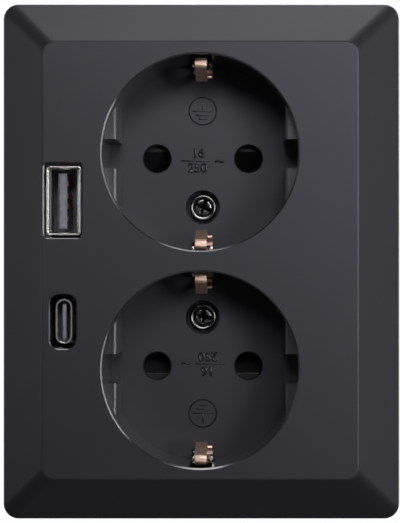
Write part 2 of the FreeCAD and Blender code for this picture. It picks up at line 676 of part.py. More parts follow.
def base_inside():
    """Posts, bosses, ledges, guides and ribs that stand in the base."""
    added = [rod(0, side * SCREW_Z, POST_R, BOSS_Y, REAR_INNER_Y) for side in WELL_SIDES]
    added += [rod(x, z, CORNER_BOSS_R, 0.0, CORNER_BOSS_LENGTH) for x, z in steel_corners()]
    for x, z in steel_corners():
        wall_z = math.copysign(BASE_INNER_HALF_Z, z)
        added.append(box(around(x, COVER_RIB_WALL), (0.0, REAR_INNER_Y), (z, wall_z)))
    partition_far_x = PARTITION_X - PARTITION_WALL
    partition = box((partition_far_x, PARTITION_X), (EARTH_BACK_Y, REAR_INNER_Y),
                    around(0, 2 * BASE_INNER_HALF_Z))
    added.append(partition)
    ledge_levels = (CARRIER_BACK_Y, REAR_INNER_Y)
    ledge_reach = around(0, 2 * LEDGE_HALF_Z)
    added.append(box((PARTITION_X, PARTITION_X + LEDGE_WIDTH), ledge_levels, ledge_reach))
    added.append(box((BASE_INNER_RIGHT_X - LEDGE_WIDTH, BASE_INNER_RIGHT_X), ledge_levels, ledge_reach))
    for hand in (-1, 1):
        added.append(box((hand * POLE_RIB_X, hand * (POLE_RIB_X + POLE_RIB_WALL)),
                         (CARRIER_BACK_Y + CARRIER_GAP, REAR_INNER_Y), around(0, 2 * POLE_RIB_HALF_Z)))
        for side in WELL_SIDES:
            added.append(box(around(hand * PIN_X, CONTACT_SEAT_WIDTH), (CONTACT_BACK_Y, REAR_INNER_Y),
                             around(side * WELL_Z, CONTACT_SEAT_WIDTH)))
    for end in (-1, 1):
        added.append(box((BOARD_FACE_X - GUIDE_GAP - GUIDE_WALL, partition_far_x + FIT_GAP),
                         (0.0, REAR_INNER_Y), (end * (BOARD_HALF_Z - GUIDE_LAP), end * BASE_INNER_HALF_Z)))
    return added


def base_cuts():
    """Screw pilots, wire holes, button windows and passages in the base."""
    cuts = [rod(0, side * SCREW_Z, SCREW_SHANK_R + THREAD_GAP, BOSS_Y - CUT_OVER,
                COUNTERBORE_Y + SCREW_LENGTH + CUT_OVER) for side in WELL_SIDES]
    cuts += [rod(x, z, BASE_SCREW_R + THREAD_GAP, -CUT_OVER, BASE_SCREW_LENGTH) for x, z in steel_corners()]
    for web_x, hand in poles().values():
        for end in (-1, 1):
            cuts.append(rod(web_x - hand * WIRE_OFFSET, end * CLAMP_Z, WIRE_HOLE_R,
                            REAR_INNER_Y - CUT_OVER, BASE_DEPTH + CUT_OVER))
        cuts.append(box(around(web_x - hand * BUTTON_OFFSET, BUTTON_WIDTH + 2 * BUTTON_GAP),
                        (REAR_INNER_Y - CUT_OVER, BASE_DEPTH + CUT_OVER),
                        around(0, BUTTON_HEIGHT + 2 * BUTTON_GAP)))
    for end in (-1, 1):
        cuts.append(box((PARTITION_X - PARTITION_WALL - CUT_OVER, PARTITION_X + CUT_OVER),
                        (CONTACT_BACK_Y - CONTACT_SHEET - GUIDE_WALL, CONTACT_BACK_Y + GUIDE_GAP),
                        around(end * FEED_ARM_Z, FEED_ARM_WIDTH + 2 * GUIDE_GAP)))
        cuts.append(box((BOARD_FACE_X - GUIDE_GAP, BOARD_BACK_X + GUIDE_GAP), (-CUT_OVER, REAR_INNER_Y),
                        (end * PIN_X, end * (BOARD_HALF_Z + GUIDE_GAP))))
    return cuts


def socket_base():
    """Rear box with everything moulded on it."""
    return joined([base_shell()] + base_inside()).cut(base_cuts()).removeSplitter()


# Carrier and shutters

def carrier():
    """Plate behind the shutters, with their rails, stops and spring seats."""
    left = PARTITION_X + CARRIER_GAP
    right = BASE_INNER_RIGHT_X - CARRIER_GAP
    plate = box((left, right), (CARRIER_Y, CARRIER_BACK_Y), around(0, 2 * CARRIER_HALF_Z))
    rail_x = SHUTTER_HALF_WIDTH + RAIL_GAP
    reach = around(0, 2 * (SPRING_SEAT_Z + SEAT_WALL))
    added = [
        box((-rail_x, -rail_x - RAIL_WIDTH), (SHUTTER_Y, CARRIER_Y), reach),
        box((rail_x, rail_x + RAIL_WIDTH), (EARTH_BACK_Y, CARRIER_Y), reach),
    ]
    for side in WELL_SIDES:
        seat = (side * SPRING_SEAT_Z, side * (SPRING_SEAT_Z + SEAT_WALL))
        added.append(box(around(0, 2 * SEAT_HALF_WIDTH), (SHUTTER_Y + SEAT_FRONT_GAP, CARRIER_Y), seat))
        stop_z = side * (SHUTTER_LOW_Z - SHUTTER_STOP_GAP)
        for hand in (-1, 1):
            added.append(box((hand * (PIN_X + PIN_HOLE_R), hand * (rail_x + FIT_GAP)),
                             (EARTH_BACK_Y, CARRIER_Y), (stop_z, stop_z - side * SHUTTER_STOP_SIZE)))
    body = joined([plate] + added)
    levels = (SHUTTER_Y - CUT_OVER, CARRIER_BACK_Y + CUT_OVER)
    cuts = [rod(hand * PIN_X, side * WELL_Z, CARRIER_PIN_R, CARRIER_Y - CUT_OVER, levels[1])
            for side in WELL_SIDES for hand in (-1, 1)]
    cuts += [rod(0, side * SCREW_Z, POST_R + CARRIER_GAP, levels[0], levels[1]) for side in WELL_SIDES]
    corner_gap = 1 - (CORNER_BOSS_R + CARRIER_GAP) / CORNER_SCREW_X
    for x, z in steel_corners():
        inner_z = math.copysign(CORNER_SCREW_Z - CORNER_BOSS_R - CARRIER_GAP, z)
        cuts.append(box((x * corner_gap, 2 * x), levels, (inner_z, 2 * z)))
    cuts.append(box((EARTH_WEB_X - CARRIER_GAP, EARTH_WEB_X + CONTACT_SHEET + CARRIER_GAP), levels,
                    around(0, 2 * (EARTH_WEB_HALF_Z + CARRIER_GAP))))
    return body.cut(cuts).removeSplitter()


def upper_shutter():
    """Slider with a ramp behind each pin hole, pushed aside by the plug's pins."""
    back = SHUTTER_Y + SHUTTER_THICKNESS
    ramp_z = WELL_Z + SHUTTER_RAMP_TOP
    ramp_depth = ramp_z - SHUTTER_LOW_Z
    top_z = WELL_Z + SHUTTER_TAB_TOP
    outline = [(ramp_z, SHUTTER_Y), (top_z, SHUTTER_Y), (top_z, back), (SHUTTER_LOW_Z, back),
               (SHUTTER_LOW_Z, SHUTTER_Y + ramp_depth)]
    pieces = []
    for hand in (-1, 1):
        outer_x = hand * SHUTTER_HALF_WIDTH
        points = [vec(outer_x, y, z) for z, y in outline]
        pieces.append(polygon_prism(points, ALONG_X * (-hand * SHUTTER_TAB_WIDTH)))
    bridge = box(around(0, 2 * SHUTTER_HALF_WIDTH), (SHUTTER_Y, SHUTTER_Y + SHUTTER_BRIDGE_THICKNESS),
                 (SHUTTER_BRIDGE_Z, WELL_Z + SHUTTER_TOP))
    pocket = box(around(0, SHUTTER_POCKET_WIDTH), (SHUTTER_Y - CUT_OVER, back),
                 (top_z, WELL_Z + SHUTTER_TOP + CUT_OVER))
    return joined(pieces + [bridge]).cut(pocket)


def upper_spring():
    """Coil spring between the slider's pocket and its seat on the carrier."""
    ends = 2 * SPRING_WIRE_R + 2 * FIT_GAP
    pitch = (SPRING_LENGTH - ends) / SPRING_TURNS
    start_z = WELL_Z + SHUTTER_TAB_TOP + ends / 2
    path = Part.makeHelix(pitch, pitch * SPRING_TURNS, SPRING_COIL_R)
    angles = [2 * math.pi * n / SPRING_WIRE_SIDES for n in range(SPRING_WIRE_SIDES + 1)]
    section = Part.makePolygon([vec(SPRING_COIL_R + SPRING_WIRE_R * math.cos(a), 0,
                                    SPRING_WIRE_R * math.sin(a)) for a in angles])
    coil = Part.Wire(path).makePipeShell([section], True, True)
    coil.translate(vec(0, SHUTTER_Y + SPRING_COIL_R + SPRING_WIRE_R + SEAT_FRONT_GAP, start_z))
    return coil


# Contacts and terminals

def contact_pair(side):
    """U-shaped pair of gripping leaves for one pin, on the right side."""
    left = PIN_X - CONTACT_HALF_SPAN
    right = PIN_X + CONTACT_HALF_SPAN
    pinch_y = CONTACT_FRONT_Y + CONTACT_BEND_R + CONTACT_PINCH
    knee_y = pinch_y + 2 * CONTACT_PINCH
    lead = CONTACT_PINCH + CONTACT_SHEET / 2
    path = [
        (left + lead / 3, CONTACT_FRONT_Y, 0),
        (left + lead, pinch_y, CONTACT_BEND_R),
        (left, knee_y, CONTACT_BEND_R),
        (left, CONTACT_BACK_Y, CONTACT_BEND_R),
        (right, CONTACT_BACK_Y, CONTACT_BEND_R),
        (right, knee_y, CONTACT_BEND_R),
        (right - lead, pinch_y, CONTACT_BEND_R),
        (right - lead / 3, CONTACT_FRONT_Y, 0),
    ]
    return strip(path, CONTACT_SHEET, CONTACT_WIDTH, side * WELL_Z)


def busbar(feed_side):
    """Contact pairs of both wells on one strip, with the arm that feeds the charger board."""
    strip_levels = (CONTACT_BACK_Y - RAIL_STRIP_DEPTH, CONTACT_BACK_Y - CONTACT_BEND_R)
    web = (POLE_WEB_X, POLE_WEB_X + CONTACT_SHEET)
    feed_z = feed_side * (FEED_ARM_Z + FEED_ARM_WIDTH / 2)
    rail = box(web, strip_levels, (-feed_side * WELL_Z, feed_z))
    neck = box(web, (strip_levels[0], CONTACT_BACK_Y), around(feed_side * FEED_ARM_Z, FEED_ARM_WIDTH))
    return joined([contact_pair(1), contact_pair(-1), rail, neck])


def feed_arm(from_x, feed_side):
    """Flat arm from a busbar to the back of the charger board."""
    return box((BOARD_BACK_X, from_x), (CONTACT_BACK_Y - CONTACT_SHEET, CONTACT_BACK_Y),
               around(feed_side * FEED_ARM_Z, FEED_ARM_WIDTH))


def neutral_busbar():
    """Right busbar, fed on to the board below the lower contacts."""
    return joined([busbar(-1), feed_arm(POLE_WEB_X, -1)])


def live_busbar():
    """Left busbar, fed on to the board above the upper contacts."""
    return joined([mirrored_left(busbar(1)), feed_arm(-POLE_WEB_X, 1)])


def clamp_springs(web_x, hand):
    """Two bent springs of one terminal, each pressing its wire to the web."""
    fixed = web_x - hand * CLAMP_SPAN
    top_y = REAR_INNER_Y - CLAMP_SEAT_GAP
    path = [
        (fixed, CLAMP_FRONT_Y, 0),
        (fixed, top_y, CLAMP_BEND_R),
        (fixed + hand * CLAMP_LOOP, top_y, CLAMP_BEND_R),
        (web_x - hand * CLAMP_TIP_GAP, CLAMP_TIP_Y, 0),
    ]
    return Part.makeCompound([strip(path, hand * CLAMP_SHEET, CLAMP_WIDTH, end * CLAMP_Z) for end in (-1, 1)])


def release_button(web_x, hand):
    """Plunger that is pushed in from the rear to free a wire."""
    x = web_x - hand * BUTTON_OFFSET
    tip_y = BASE_DEPTH + BUTTON_PROUD
    stem = box(around(x, BUTTON_WIDTH), (tip_y - BUTTON_LENGTH, tip_y), around(0, BUTTON_HEIGHT))
    flange_back = REAR_INNER_Y - CLAMP_SEAT_GAP
    flange = box(around(x, BUTTON_WIDTH - BUTTON_FLANGE), (flange_back - BUTTON_FLANGE_THICKNESS, flange_back),
                 around(0, BUTTON_HEIGHT + 2 * BUTTON_FLANGE))
    return joined([stem, flange])


# Earth bar and springs

def cradle(side, end):
    """Channel of the earth bar that stands in one earth slot."""
    middle = side * WELL_Z
    back = (middle + end * CRADLE_BACK_R, middle + end * (CRADLE_BACK_R + CRADLE_SHEET))
    flange = (middle + end * (CRADLE_BACK_R - CRADLE_FLANGE), back[1])
    levels = (CRADLE_FRONT_Y, EARTH_BACK_Y)
    pieces = [box(around(0, 2 * CRADLE_HALF_WIDTH), levels, back)]
    for hand in (-1, 1):
        pieces.append(box((hand * CRADLE_HALF_WIDTH, hand * (CRADLE_HALF_WIDTH - CRADLE_SHEET)),
                          (levels[0] - CRADLE_FLANGE, levels[1]), flange))
    return joined(pieces)


def earth_bar():
    """Flat bar with three arms, four cradles and the earth terminal's web."""
    flat = (EARTH_Y, EARTH_BACK_Y)
    spine_x = (EARTH_SPINE_X, EARTH_SPINE_X + EARTH_SPINE_WIDTH)
    outer_z = WELL_Z + CRADLE_BACK_R + CRADLE_SHEET
    pieces = [box(spine_x, flat, around(0, 2 * outer_z))]
    for end in (-1, 1):
        pieces.append(box((-CRADLE_HALF_WIDTH, spine_x[1]), flat, (end * (outer_z - ARM_WIDTH), end * outer_z)))
    inner_half = WELL_Z - CRADLE_BACK_R + CRADLE_FLANGE
    pieces.append(box((-CRADLE_HALF_WIDTH, spine_x[1]), flat, around(0, 2 * inner_half)))
    pieces += [cradle(side, end) for side in WELL_SIDES for end in (-1, 1)]
    web_x = (EARTH_WEB_X, EARTH_WEB_X + CONTACT_SHEET)
    pieces.append(box(web_x, (EARTH_Y, CONTACT_BACK_Y), around(0, 2 * EARTH_WEB_HALF_Z)))
    pieces.append(box(web_x, (CONTACT_BACK_Y - RAIL_STRIP_DEPTH - RAIL_STRIP_DEPTH, CONTACT_BACK_Y),
                      around(0, 2 * (CLAMP_Z + CLAMP_WIDTH / 2))))
    return joined(pieces)


def earth_spring(side, end):
    """Bent contact strip in an earth slot, with a hooked ear beside its tail."""
    foot_r = CRADLE_BACK_R - FIT_GAP
    crest_y = FACE_Y + CLIP_CREST_DROP
    slope = (CLIP_TAIL_R - CLIP_CREST_R) / (CLIP_TAIL_Y - crest_y)
    leaf = [
        (foot_r, FLOOR_Y + CLIP_FOOT_OVER, 0),
        (foot_r, FACE_Y + CLIP_TOP_DROP, CLIP_BEND_R),
        (CLIP_TOP_R, FACE_Y + CLIP_TOP_DROP, CLIP_BEND_R),
        (CLIP_CREST_R, crest_y, CLIP_BEND_R),
        (CLIP_TAIL_R, CLIP_TAIL_Y, 0),
    ]
    ear = [
        (CLIP_TAIL_R - slope * EAR_LENGTH, CLIP_TAIL_Y - EAR_LENGTH, 0),
        (CLIP_TAIL_R, CLIP_TAIL_Y, CLIP_SHEET),
        (CLIP_TAIL_R + EAR_HOOK, CLIP_TAIL_Y, 0),
    ]
    piece = joined([strip(leaf, CLIP_SHEET, CLIP_WIDTH),
                    strip(ear, CLIP_SHEET, EAR_REACH_X, -end * EAR_REACH_X / 2)])
    piece.rotate(vec(0, 0, 0), INTO_WALL, -90 * end)
    piece.translate(UP * side * WELL_Z)
    return piece


# Charging ports

def usb_a_shell():
    """Folded metal shell with a flared mouth."""
    inner_w = USB_A_SHELL_W - 2 * PORT_SHEET
    inner_h = USB_A_SHELL_H - 2 * PORT_SHEET
    flare_y = USB_A_Y + USB_A_FLARE_LENGTH
    radius = USB_A_SHELL_CORNER_R
    end_y = USB_A_Y + USB_A_SHELL_LENGTH
    tube = rounded_block(USB_A_SHELL_W, USB_A_SHELL_H, radius, flare_y, end_y, PORT_X, USB_A_Z)
    grow = 2 * USB_A_FLARE
    mouth = Part.makeLoft([
        rounded_wire(USB_A_SHELL_W + grow, USB_A_SHELL_H + grow, radius, USB_A_Y, PORT_X, USB_A_Z),
        rounded_wire(USB_A_SHELL_W, USB_A_SHELL_H, radius, flare_y, PORT_X, USB_A_Z)], True, True)
    hollow = rounded_block(inner_w, inner_h, radius - PORT_SHEET, USB_A_Y - CUT_OVER, end_y + CUT_OVER,
                           PORT_X, USB_A_Z)
    flare = Part.makeLoft([
        rounded_wire(inner_w + grow, inner_h + grow, radius - PORT_SHEET, USB_A_Y, PORT_X, USB_A_Z),
        rounded_wire(inner_w, inner_h, radius - PORT_SHEET, flare_y, PORT_X, USB_A_Z)], True, True)
    return joined([tube, mouth]).cut([hollow, flare])


def usb_a_contacts():
    """Four sprung contacts on the tongue, each turned down to the board behind the shell."""
    tongue_x = PORT_X - USB_A_TONGUE_X + USB_A_TONGUE_W / 2
    front_y = USB_A_Y + USB_A_TONGUE_DROP + USB_A_TONGUE_W / 2
    crown_y = front_y + 2 * USB_A_TONGUE_W
    end_y = USB_A_Y + USB_A_SHELL_LENGTH + 2 * USB_A_CONTACT_SHEET
    block_y = USB_A_Y + USB_A_SHELL_LENGTH - USB_A_BLOCK_LENGTH
    path = [
        (tongue_x, front_y, 0),
        (tongue_x + USB_A_CONTACT_CROWN, crown_y, USB_A_CONTACT_WIDTH),
        (tongue_x, block_y, USB_A_CONTACT_WIDTH),
        (tongue_x, end_y, USB_A_CONTACT_SHEET * 2),
        (BOARD_FACE_X, end_y, 0),
    ]
    return Part.makeCompound([strip(path, USB_A_CONTACT_SHEET, USB_A_CONTACT_WIDTH, USB_A_Z + place)
                              for place in USB_A_CONTACT_PLACES])


def usb_a_tongue():
    """Moulded tongue and the block that fills the back of the shell."""
    inner_w = USB_A_SHELL_W - 2 * PORT_SHEET
    inner_h = USB_A_SHELL_H - 2 * PORT_SHEET
    end_y = USB_A_Y + USB_A_SHELL_LENGTH
    block = rounded_block(inner_w, inner_h, USB_A_SHELL_CORNER_R - PORT_SHEET,
                          end_y - USB_A_BLOCK_LENGTH, end_y, PORT_X, USB_A_Z)
    tongue = box(around(PORT_X - USB_A_TONGUE_X, USB_A_TONGUE_W), (USB_A_Y + USB_A_TONGUE_DROP, end_y),
                 around(USB_A_Z, USB_A_TONGUE_H))
    front = [e for e in tongue.Edges if e.BoundBox.YMax < USB_A_Y + USB_A_TONGUE_DROP + FIT_GAP]
    tongue = tongue.makeChamfer(USB_A_TONGUE_EDGE, front)
    return joined([block, tongue]).cut(usb_a_contacts())


def usb_c_shell():
    """Seamless shell with four legs that stand on the board."""
    radius = USB_C_SHELL_W / 2
    end_y = USB_C_Y + USB_C_SHELL_LENGTH
    tube = rounded_block(USB_C_SHELL_W, USB_C_SHELL_H, radius, USB_C_Y, end_y, PORT_X, USB_C_Z)
    hollow = rounded_block(USB_C_SHELL_W - 2 * PORT_SHEET, USB_C_SHELL_H - 2 * PORT_SHEET,
                           radius - PORT_SHEET, USB_C_Y - CUT_OVER, end_y + CUT_OVER, PORT_X, USB_C_Z)
    legs = []
    for end in (-1, 1):
        outer_z = USB_C_Z + end * USB_C_SHELL_H / 2
        for y in (BOARD_TONGUE_FRONT_Y + SHELL_LEG_LENGTH, end_y - 2 * SHELL_LEG_LENGTH):
            legs.append(box((PORT_X, BOARD_FACE_X), (y, y + SHELL_LEG_LENGTH),
                            (outer_z - end * SHELL_LEG_SHEET, outer_z)))
    return joined([tube] + legs).cut(hollow)


def usb_c_contacts():
    """Two rows of twelve contacts on the tongue, with leads to the board."""
    end_y = USB_C_Y + USB_C_SHELL_LENGTH
    front_y = USB_C_Y + USB_C_TONGUE_DROP + USB_C_CONTACT_PITCH
    half = USB_C_TONGUE_W / 2
    rows = []
    for hand in (-1, 1):
        lead_y = end_y + USB_C_LEAD_STEP * (1 if hand > 0 else 2)
        face_x = PORT_X + hand * half
        for place in range(USB_C_CONTACT_COUNT):
            z = USB_C_Z + (place - (USB_C_CONTACT_COUNT - 1) / 2) * USB_C_CONTACT_PITCH
            width = around(z, USB_C_CONTACT_WIDTH)
            pad = box((face_x, face_x - hand * USB_C_CONTACT_SHEET), (front_y, lead_y), width)
            lead = box((min(face_x, face_x - hand * USB_C_CONTACT_SHEET), BOARD_FACE_X),
                       (lead_y - USB_C_CONTACT_SHEET, lead_y), width)
            rows.append(joined([pad, lead]))
    return Part.makeCompound(rows)


def usb_c_tongue():
    """Moulded tongue and block of the small port."""
    end_y = USB_C_Y + USB_C_SHELL_LENGTH
    block = rounded_block(USB_C_SHELL_W - 2 * PORT_SHEET, USB_C_SHELL_H - 2 * PORT_SHEET,
                          USB_C_SHELL_W / 2 - PORT_SHEET, end_y - USB_C_BLOCK_LENGTH, end_y, PORT_X, USB_C_Z)
    tongue = box(around(PORT_X, USB_C_TONGUE_W), (USB_C_Y + USB_C_TONGUE_DROP, end_y),
                 around(USB_C_Z, USB_C_TONGUE_H))
    return joined([block, tongue]).cut(usb_c_contacts())


# Charger board and components

def charger_board():
    """Upright board beside the ports, with a forward tongue at each port."""
    sheet = (BOARD_FACE_X, BOARD_BACK_X)
    pieces = [box(sheet, (BOARD_FRONT_Y, BOARD_BACK_Y), around(0, 2 * BOARD_HALF_Z))]
    for height, z in ((USB_A_SHELL_H, USB_A_Z), (USB_C_SHELL_H, USB_C_Z)):
        pieces.append(box(sheet, (BOARD_TONGUE_FRONT_Y, BOARD_BACK_Y),
                          around(z, height + 2 * BOARD_TONGUE_MARGIN)))
    return joined(pieces)


def on_board(height):
    """X span of a component that stands to a height on the board."""
    return (BOARD_FACE_X - height, BOARD_FACE_X)


def transformer_core():
    """Ferrite frame with a middle leg, lying on the board."""
    frame = box(on_board(CORE_HEIGHT), around(CORE_Y, CORE_WIDTH), around(CORE_Z, CORE_LENGTH))
    window = (CORE_WIDTH - 3 * CORE_LEG) / 2
    for hand in (-1, 1):
        frame = frame.cut(box(on_board(2 * CORE_HEIGHT), around(CORE_Y + hand * (CORE_LEG + window) / 2
                                                               + hand * CORE_LEG / 4, window),
                              around(CORE_Z, CORE_LENGTH - 2 * CORE_LEG)))
    return frame


def transformer_winding():
    """Taped coils around the middle leg."""
    length = CORE_LENGTH - 2 * CORE_LEG - 2 * WINDING_GAP
    inner = transformer_core()
    window = (CORE_WIDTH - 3 * CORE_LEG) / 2
    outer = box(on_board(CORE_HEIGHT + WINDING_GAP), around(CORE_Y, CORE_WIDTH - 2 * CORE_LEG + window / 2),
                around(CORE_Z, length))
    long_edges = [e for e in outer.Edges if e.BoundBox.ZLength > length - FIT_GAP]
    return outer.makeFillet(WINDING_EDGE_R, long_edges).cut(inner)


def can(radius, length, y, z):
    """Round capacitor lying on the board along Z."""
    body = Part.makeCylinder(radius, length, vec(BOARD_FACE_X - radius, y, z - length / 2), UP)
    rims = [e for e in body.Edges if e.BoundBox.ZLength < FIT_GAP]
    return body.makeChamfer(CAPACITOR_EDGE, rims)


def input_capacitors():
    """Two high-voltage capacitors below the small port."""
    z = -BOARD_HALF_Z + INPUT_CAPACITOR_LENGTH
    step = 2 * INPUT_CAPACITOR_R + CHOKE_FLANGE
    first_y = BOARD_FRONT_Y + 2 * INPUT_CAPACITOR_R
    return Part.makeCompound([can(INPUT_CAPACITOR_R, INPUT_CAPACITOR_LENGTH, first_y + step * n, z)
                              for n in range(2)])


def output_capacitor():
    """Low-voltage capacitor behind the upper port."""
    return can(OUTPUT_CAPACITOR_R, OUTPUT_CAPACITOR_LENGTH, BOARD_BACK_Y - 2 * OUTPUT_CAPACITOR_R, USB_A_Z)


def fuse():
    """Round fuse near the mains feed."""
    return can(FUSE_R, FUSE_LENGTH, BOARD_BACK_Y - 2 * FUSE_R, -CORE_Z)


def rectifier():
    """Bridge rectifier in a flat square body."""
    return box(on_board(RECTIFIER_HEIGHT), around(CORE_Y, RECTIFIER_SIZE), around(USB_C_Z, RECTIFIER_SIZE))


def controller_chip():
    """Control chip in a flat body with chamfered sides."""
    body = box(on_board(CHIP_HEIGHT), around(CORE_Y, CHIP_WIDTH), around(USB_A_Z, CHIP_LENGTH))
    top = [e for e in body.Edges if e.BoundBox.XMax < BOARD_FACE_X - CHIP_HEIGHT + FIT_GAP]
    return body.makeChamfer(CHIP_EDGE, top)


def choke():
    """Drum choke with two flanges and its winding, standing on the board."""
    y = BOARD_BACK_Y - CHOKE_R - CHOKE_FLANGE
    levels = [(0, CHOKE_FLANGE, CHOKE_R), (CHOKE_FLANGE, CHOKE_HEIGHT - CHOKE_FLANGE, CHOKE_R - CHOKE_FLANGE / 2),
              (CHOKE_HEIGHT - CHOKE_FLANGE, CHOKE_HEIGHT, CHOKE_R)]
    return joined([Part.makeCylinder(radius, end - start, vec(BOARD_FACE_X - end, y, USB_C_Z), ALONG_X)
                   for start, end, radius in levels])


def all_nodes():
    """Every node's shape by name."""
    shutter = upper_shutter()
    spring = upper_spring()
    nodes = {
        "front_cover": front_cover(),
        "cover_screw_upper": cover_screw(1, UPPER_RECESS_TURN),
        "cover_screw_lower": cover_screw(-1, LOWER_RECESS_TURN),
        "mounting_plate": mounting_plate(),
        "base_screws": base_screws(),
        "socket_base": socket_base(),
        "shutter_carrier": carrier(),
        "shutter_upper": shutter,
        "shutter_lower": mirrored_down(shutter),
        "shutter_spring_upper": spring,
        "shutter_spring_lower": mirrored_down(spring),
        "live_busbar": live_busbar(),
        "neutral_busbar": neutral_busbar(),
        "earth_bar": earth_bar(),
        "earth_spring_upper_top": earth_spring(1, 1),
        "earth_spring_upper_bottom": earth_spring(1, -1),
        "earth_spring_lower_top": earth_spring(-1, 1),
        "earth_spring_lower_bottom": earth_spring(-1, -1),
        "usb_a_shell": usb_a_shell(),
        "usb_a_tongue": usb_a_tongue(),
        "usb_a_contacts": usb_a_contacts(),
        "usb_c_shell": usb_c_shell(),
        "usb_c_tongue": usb_c_tongue(),
        "usb_c_contacts": usb_c_contacts(),
        "charger_board": charger_board(),
        "transformer_core": transformer_core(),
        "transformer_winding": transformer_winding(),
        "input_capacitors": input_capacitors(),
        "output_capacitor": output_capacitor(),
        "fuse": fuse(),
        "rectifier": rectifier(),
        "controller_chip": controller_chip(),
        "choke": choke(),
    }
    for pole, (web_x, hand) in poles().items():
        nodes[pole + "_clamp_springs"] = clamp_springs(web_x, hand)
        nodes["release_button_" + pole] = release_button(web_x, hand)
    return nodes


os.makedirs("parts", exist_ok=True)
for name, shape in all_nodes().items():
    shape.exportStep("parts/" + name + ".step")
    print(name, "solids", len(shape.Solids), "valid", shape.isValid(), "volume", round(shape.Volume, 1))
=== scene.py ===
import json
import logging
import math
from dataclasses import dataclass, replace
from enum import Enum

import bpy
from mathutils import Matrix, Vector


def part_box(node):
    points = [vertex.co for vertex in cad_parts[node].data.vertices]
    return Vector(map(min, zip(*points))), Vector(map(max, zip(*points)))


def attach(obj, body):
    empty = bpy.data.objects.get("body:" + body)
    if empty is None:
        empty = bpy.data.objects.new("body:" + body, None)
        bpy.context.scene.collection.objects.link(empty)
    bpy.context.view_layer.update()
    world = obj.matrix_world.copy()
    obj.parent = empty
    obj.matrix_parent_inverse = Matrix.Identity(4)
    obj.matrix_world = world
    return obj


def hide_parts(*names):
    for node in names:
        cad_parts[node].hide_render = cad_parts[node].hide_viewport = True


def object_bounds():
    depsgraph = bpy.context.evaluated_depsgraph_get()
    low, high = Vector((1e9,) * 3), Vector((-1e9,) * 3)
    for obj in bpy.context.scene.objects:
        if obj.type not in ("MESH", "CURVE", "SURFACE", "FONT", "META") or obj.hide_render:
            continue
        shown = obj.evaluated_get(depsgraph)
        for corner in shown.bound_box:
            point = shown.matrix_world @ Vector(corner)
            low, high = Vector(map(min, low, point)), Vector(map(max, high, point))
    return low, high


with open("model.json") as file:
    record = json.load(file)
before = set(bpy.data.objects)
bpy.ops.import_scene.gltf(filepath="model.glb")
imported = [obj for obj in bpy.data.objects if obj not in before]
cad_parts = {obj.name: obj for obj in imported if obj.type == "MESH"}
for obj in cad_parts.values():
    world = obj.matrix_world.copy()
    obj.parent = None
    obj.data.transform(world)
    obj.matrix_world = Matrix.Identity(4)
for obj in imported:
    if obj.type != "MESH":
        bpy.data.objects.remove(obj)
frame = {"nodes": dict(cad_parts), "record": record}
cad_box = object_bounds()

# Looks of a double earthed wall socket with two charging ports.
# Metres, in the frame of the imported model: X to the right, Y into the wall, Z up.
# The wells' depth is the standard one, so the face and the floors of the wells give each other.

log = logging.getLogger("socket")
MM = 0.001
WELL_DEPTH = 17.5 * MM
FLOOR_DROP = 850 * MM
MERGE_DISTANCE = 0.0002 * MM
LEVEL_SLACK = 0.01 * MM
WELLS = ("upper", "lower")
Colour = tuple[float, float, float]
Place = tuple[float, float, float]


class Along(Enum):
    """Direction of a drawn or brushed metal's streaks, as a stretch of the pattern."""

    X = (0.06, 1.0, 1.0)
    Y = (1.0, 0.06, 1.0)
    Z = (1.0, 1.0, 0.06)


class Body(Enum):
    """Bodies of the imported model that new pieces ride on."""

    SOCKET = "socket"


def select_only(piece: bpy.types.Object) -> None:
    """Leaves one piece selected and active.

    Args:
        piece: The object to select.
    """
    bpy.ops.object.select_all(action="DESELECT")
    piece.select_set(True)
    bpy.context.view_layer.objects.active = piece


def settle(piece: bpy.types.Object) -> bpy.types.Object:
    """Moves a piece's place, turn and scale into its mesh.

    Args:
        piece: The object to settle.

    Returns:
        The same object, at the origin.
    """
    select_only(piece)
    bpy.ops.object.transform_apply(location=True, rotation=True, scale=True)
    return piece


def use_modifier(piece: bpy.types.Object, kind: str, **settings: object) -> None:
    """Adds one modifier and applies it.

    Args:
        piece: The object that gets it.
        kind: Blender's name of the modifier type.
        settings: Values of the modifier's own properties.
    """
    select_only(piece)
    modifier = piece.modifiers.new(kind.lower(), kind)
    for name, value in settings.items():
        setattr(modifier, name, value)
    bpy.ops.object.modifier_apply(modifier=modifier.name)


def cut_away(piece: bpy.types.Object, cutter: bpy.types.Object) -> None:
    """Cuts one solid out of another and removes the cutter."""
    use_modifier(piece, "BOOLEAN", object=cutter, operation="DIFFERENCE", solver="EXACT")
    bpy.data.objects.remove(cutter)


def join(pieces: list[bpy.types.Object], name: str) -> bpy.types.Object:
    """Joins several objects into one mesh.

    Args:
        pieces: The objects, of which the first keeps its data.
        name: Name of the joined piece.

    Returns:
        The joined object.
    """
    select_only(pieces[0])
    for piece in pieces[1:]:
        piece.select_set(True)
    bpy.ops.object.join()
    pieces[0].name = name
    pieces[0].data.name = name
    return pieces[0]


def rod(radius: float, start: Place, length: float, sides: int = 64) -> bpy.types.Object:
    """Round bar along Y.

    Args:
        radius: Its radius.
        start: Middle of its front end.
        length: How far it goes into the wall.
        sides: Facets around it.

    Returns:
        The new object.
    """
    middle = (start[0], start[1] + length / 2, start[2])
    bpy.ops.mesh.primitive_cylinder_add(
        vertices=sides, radius=radius, depth=length, location=middle, rotation=(math.pi / 2, 0, 0))
    return settle(bpy.context.object)


def bar(size: Place, middle: Place) -> bpy.types.Object:
    """Straight block with a size and a middle."""
    bpy.ops.mesh.primitive_cube_add(size=1.0, location=middle, scale=size)
    return settle(bpy.context.object)


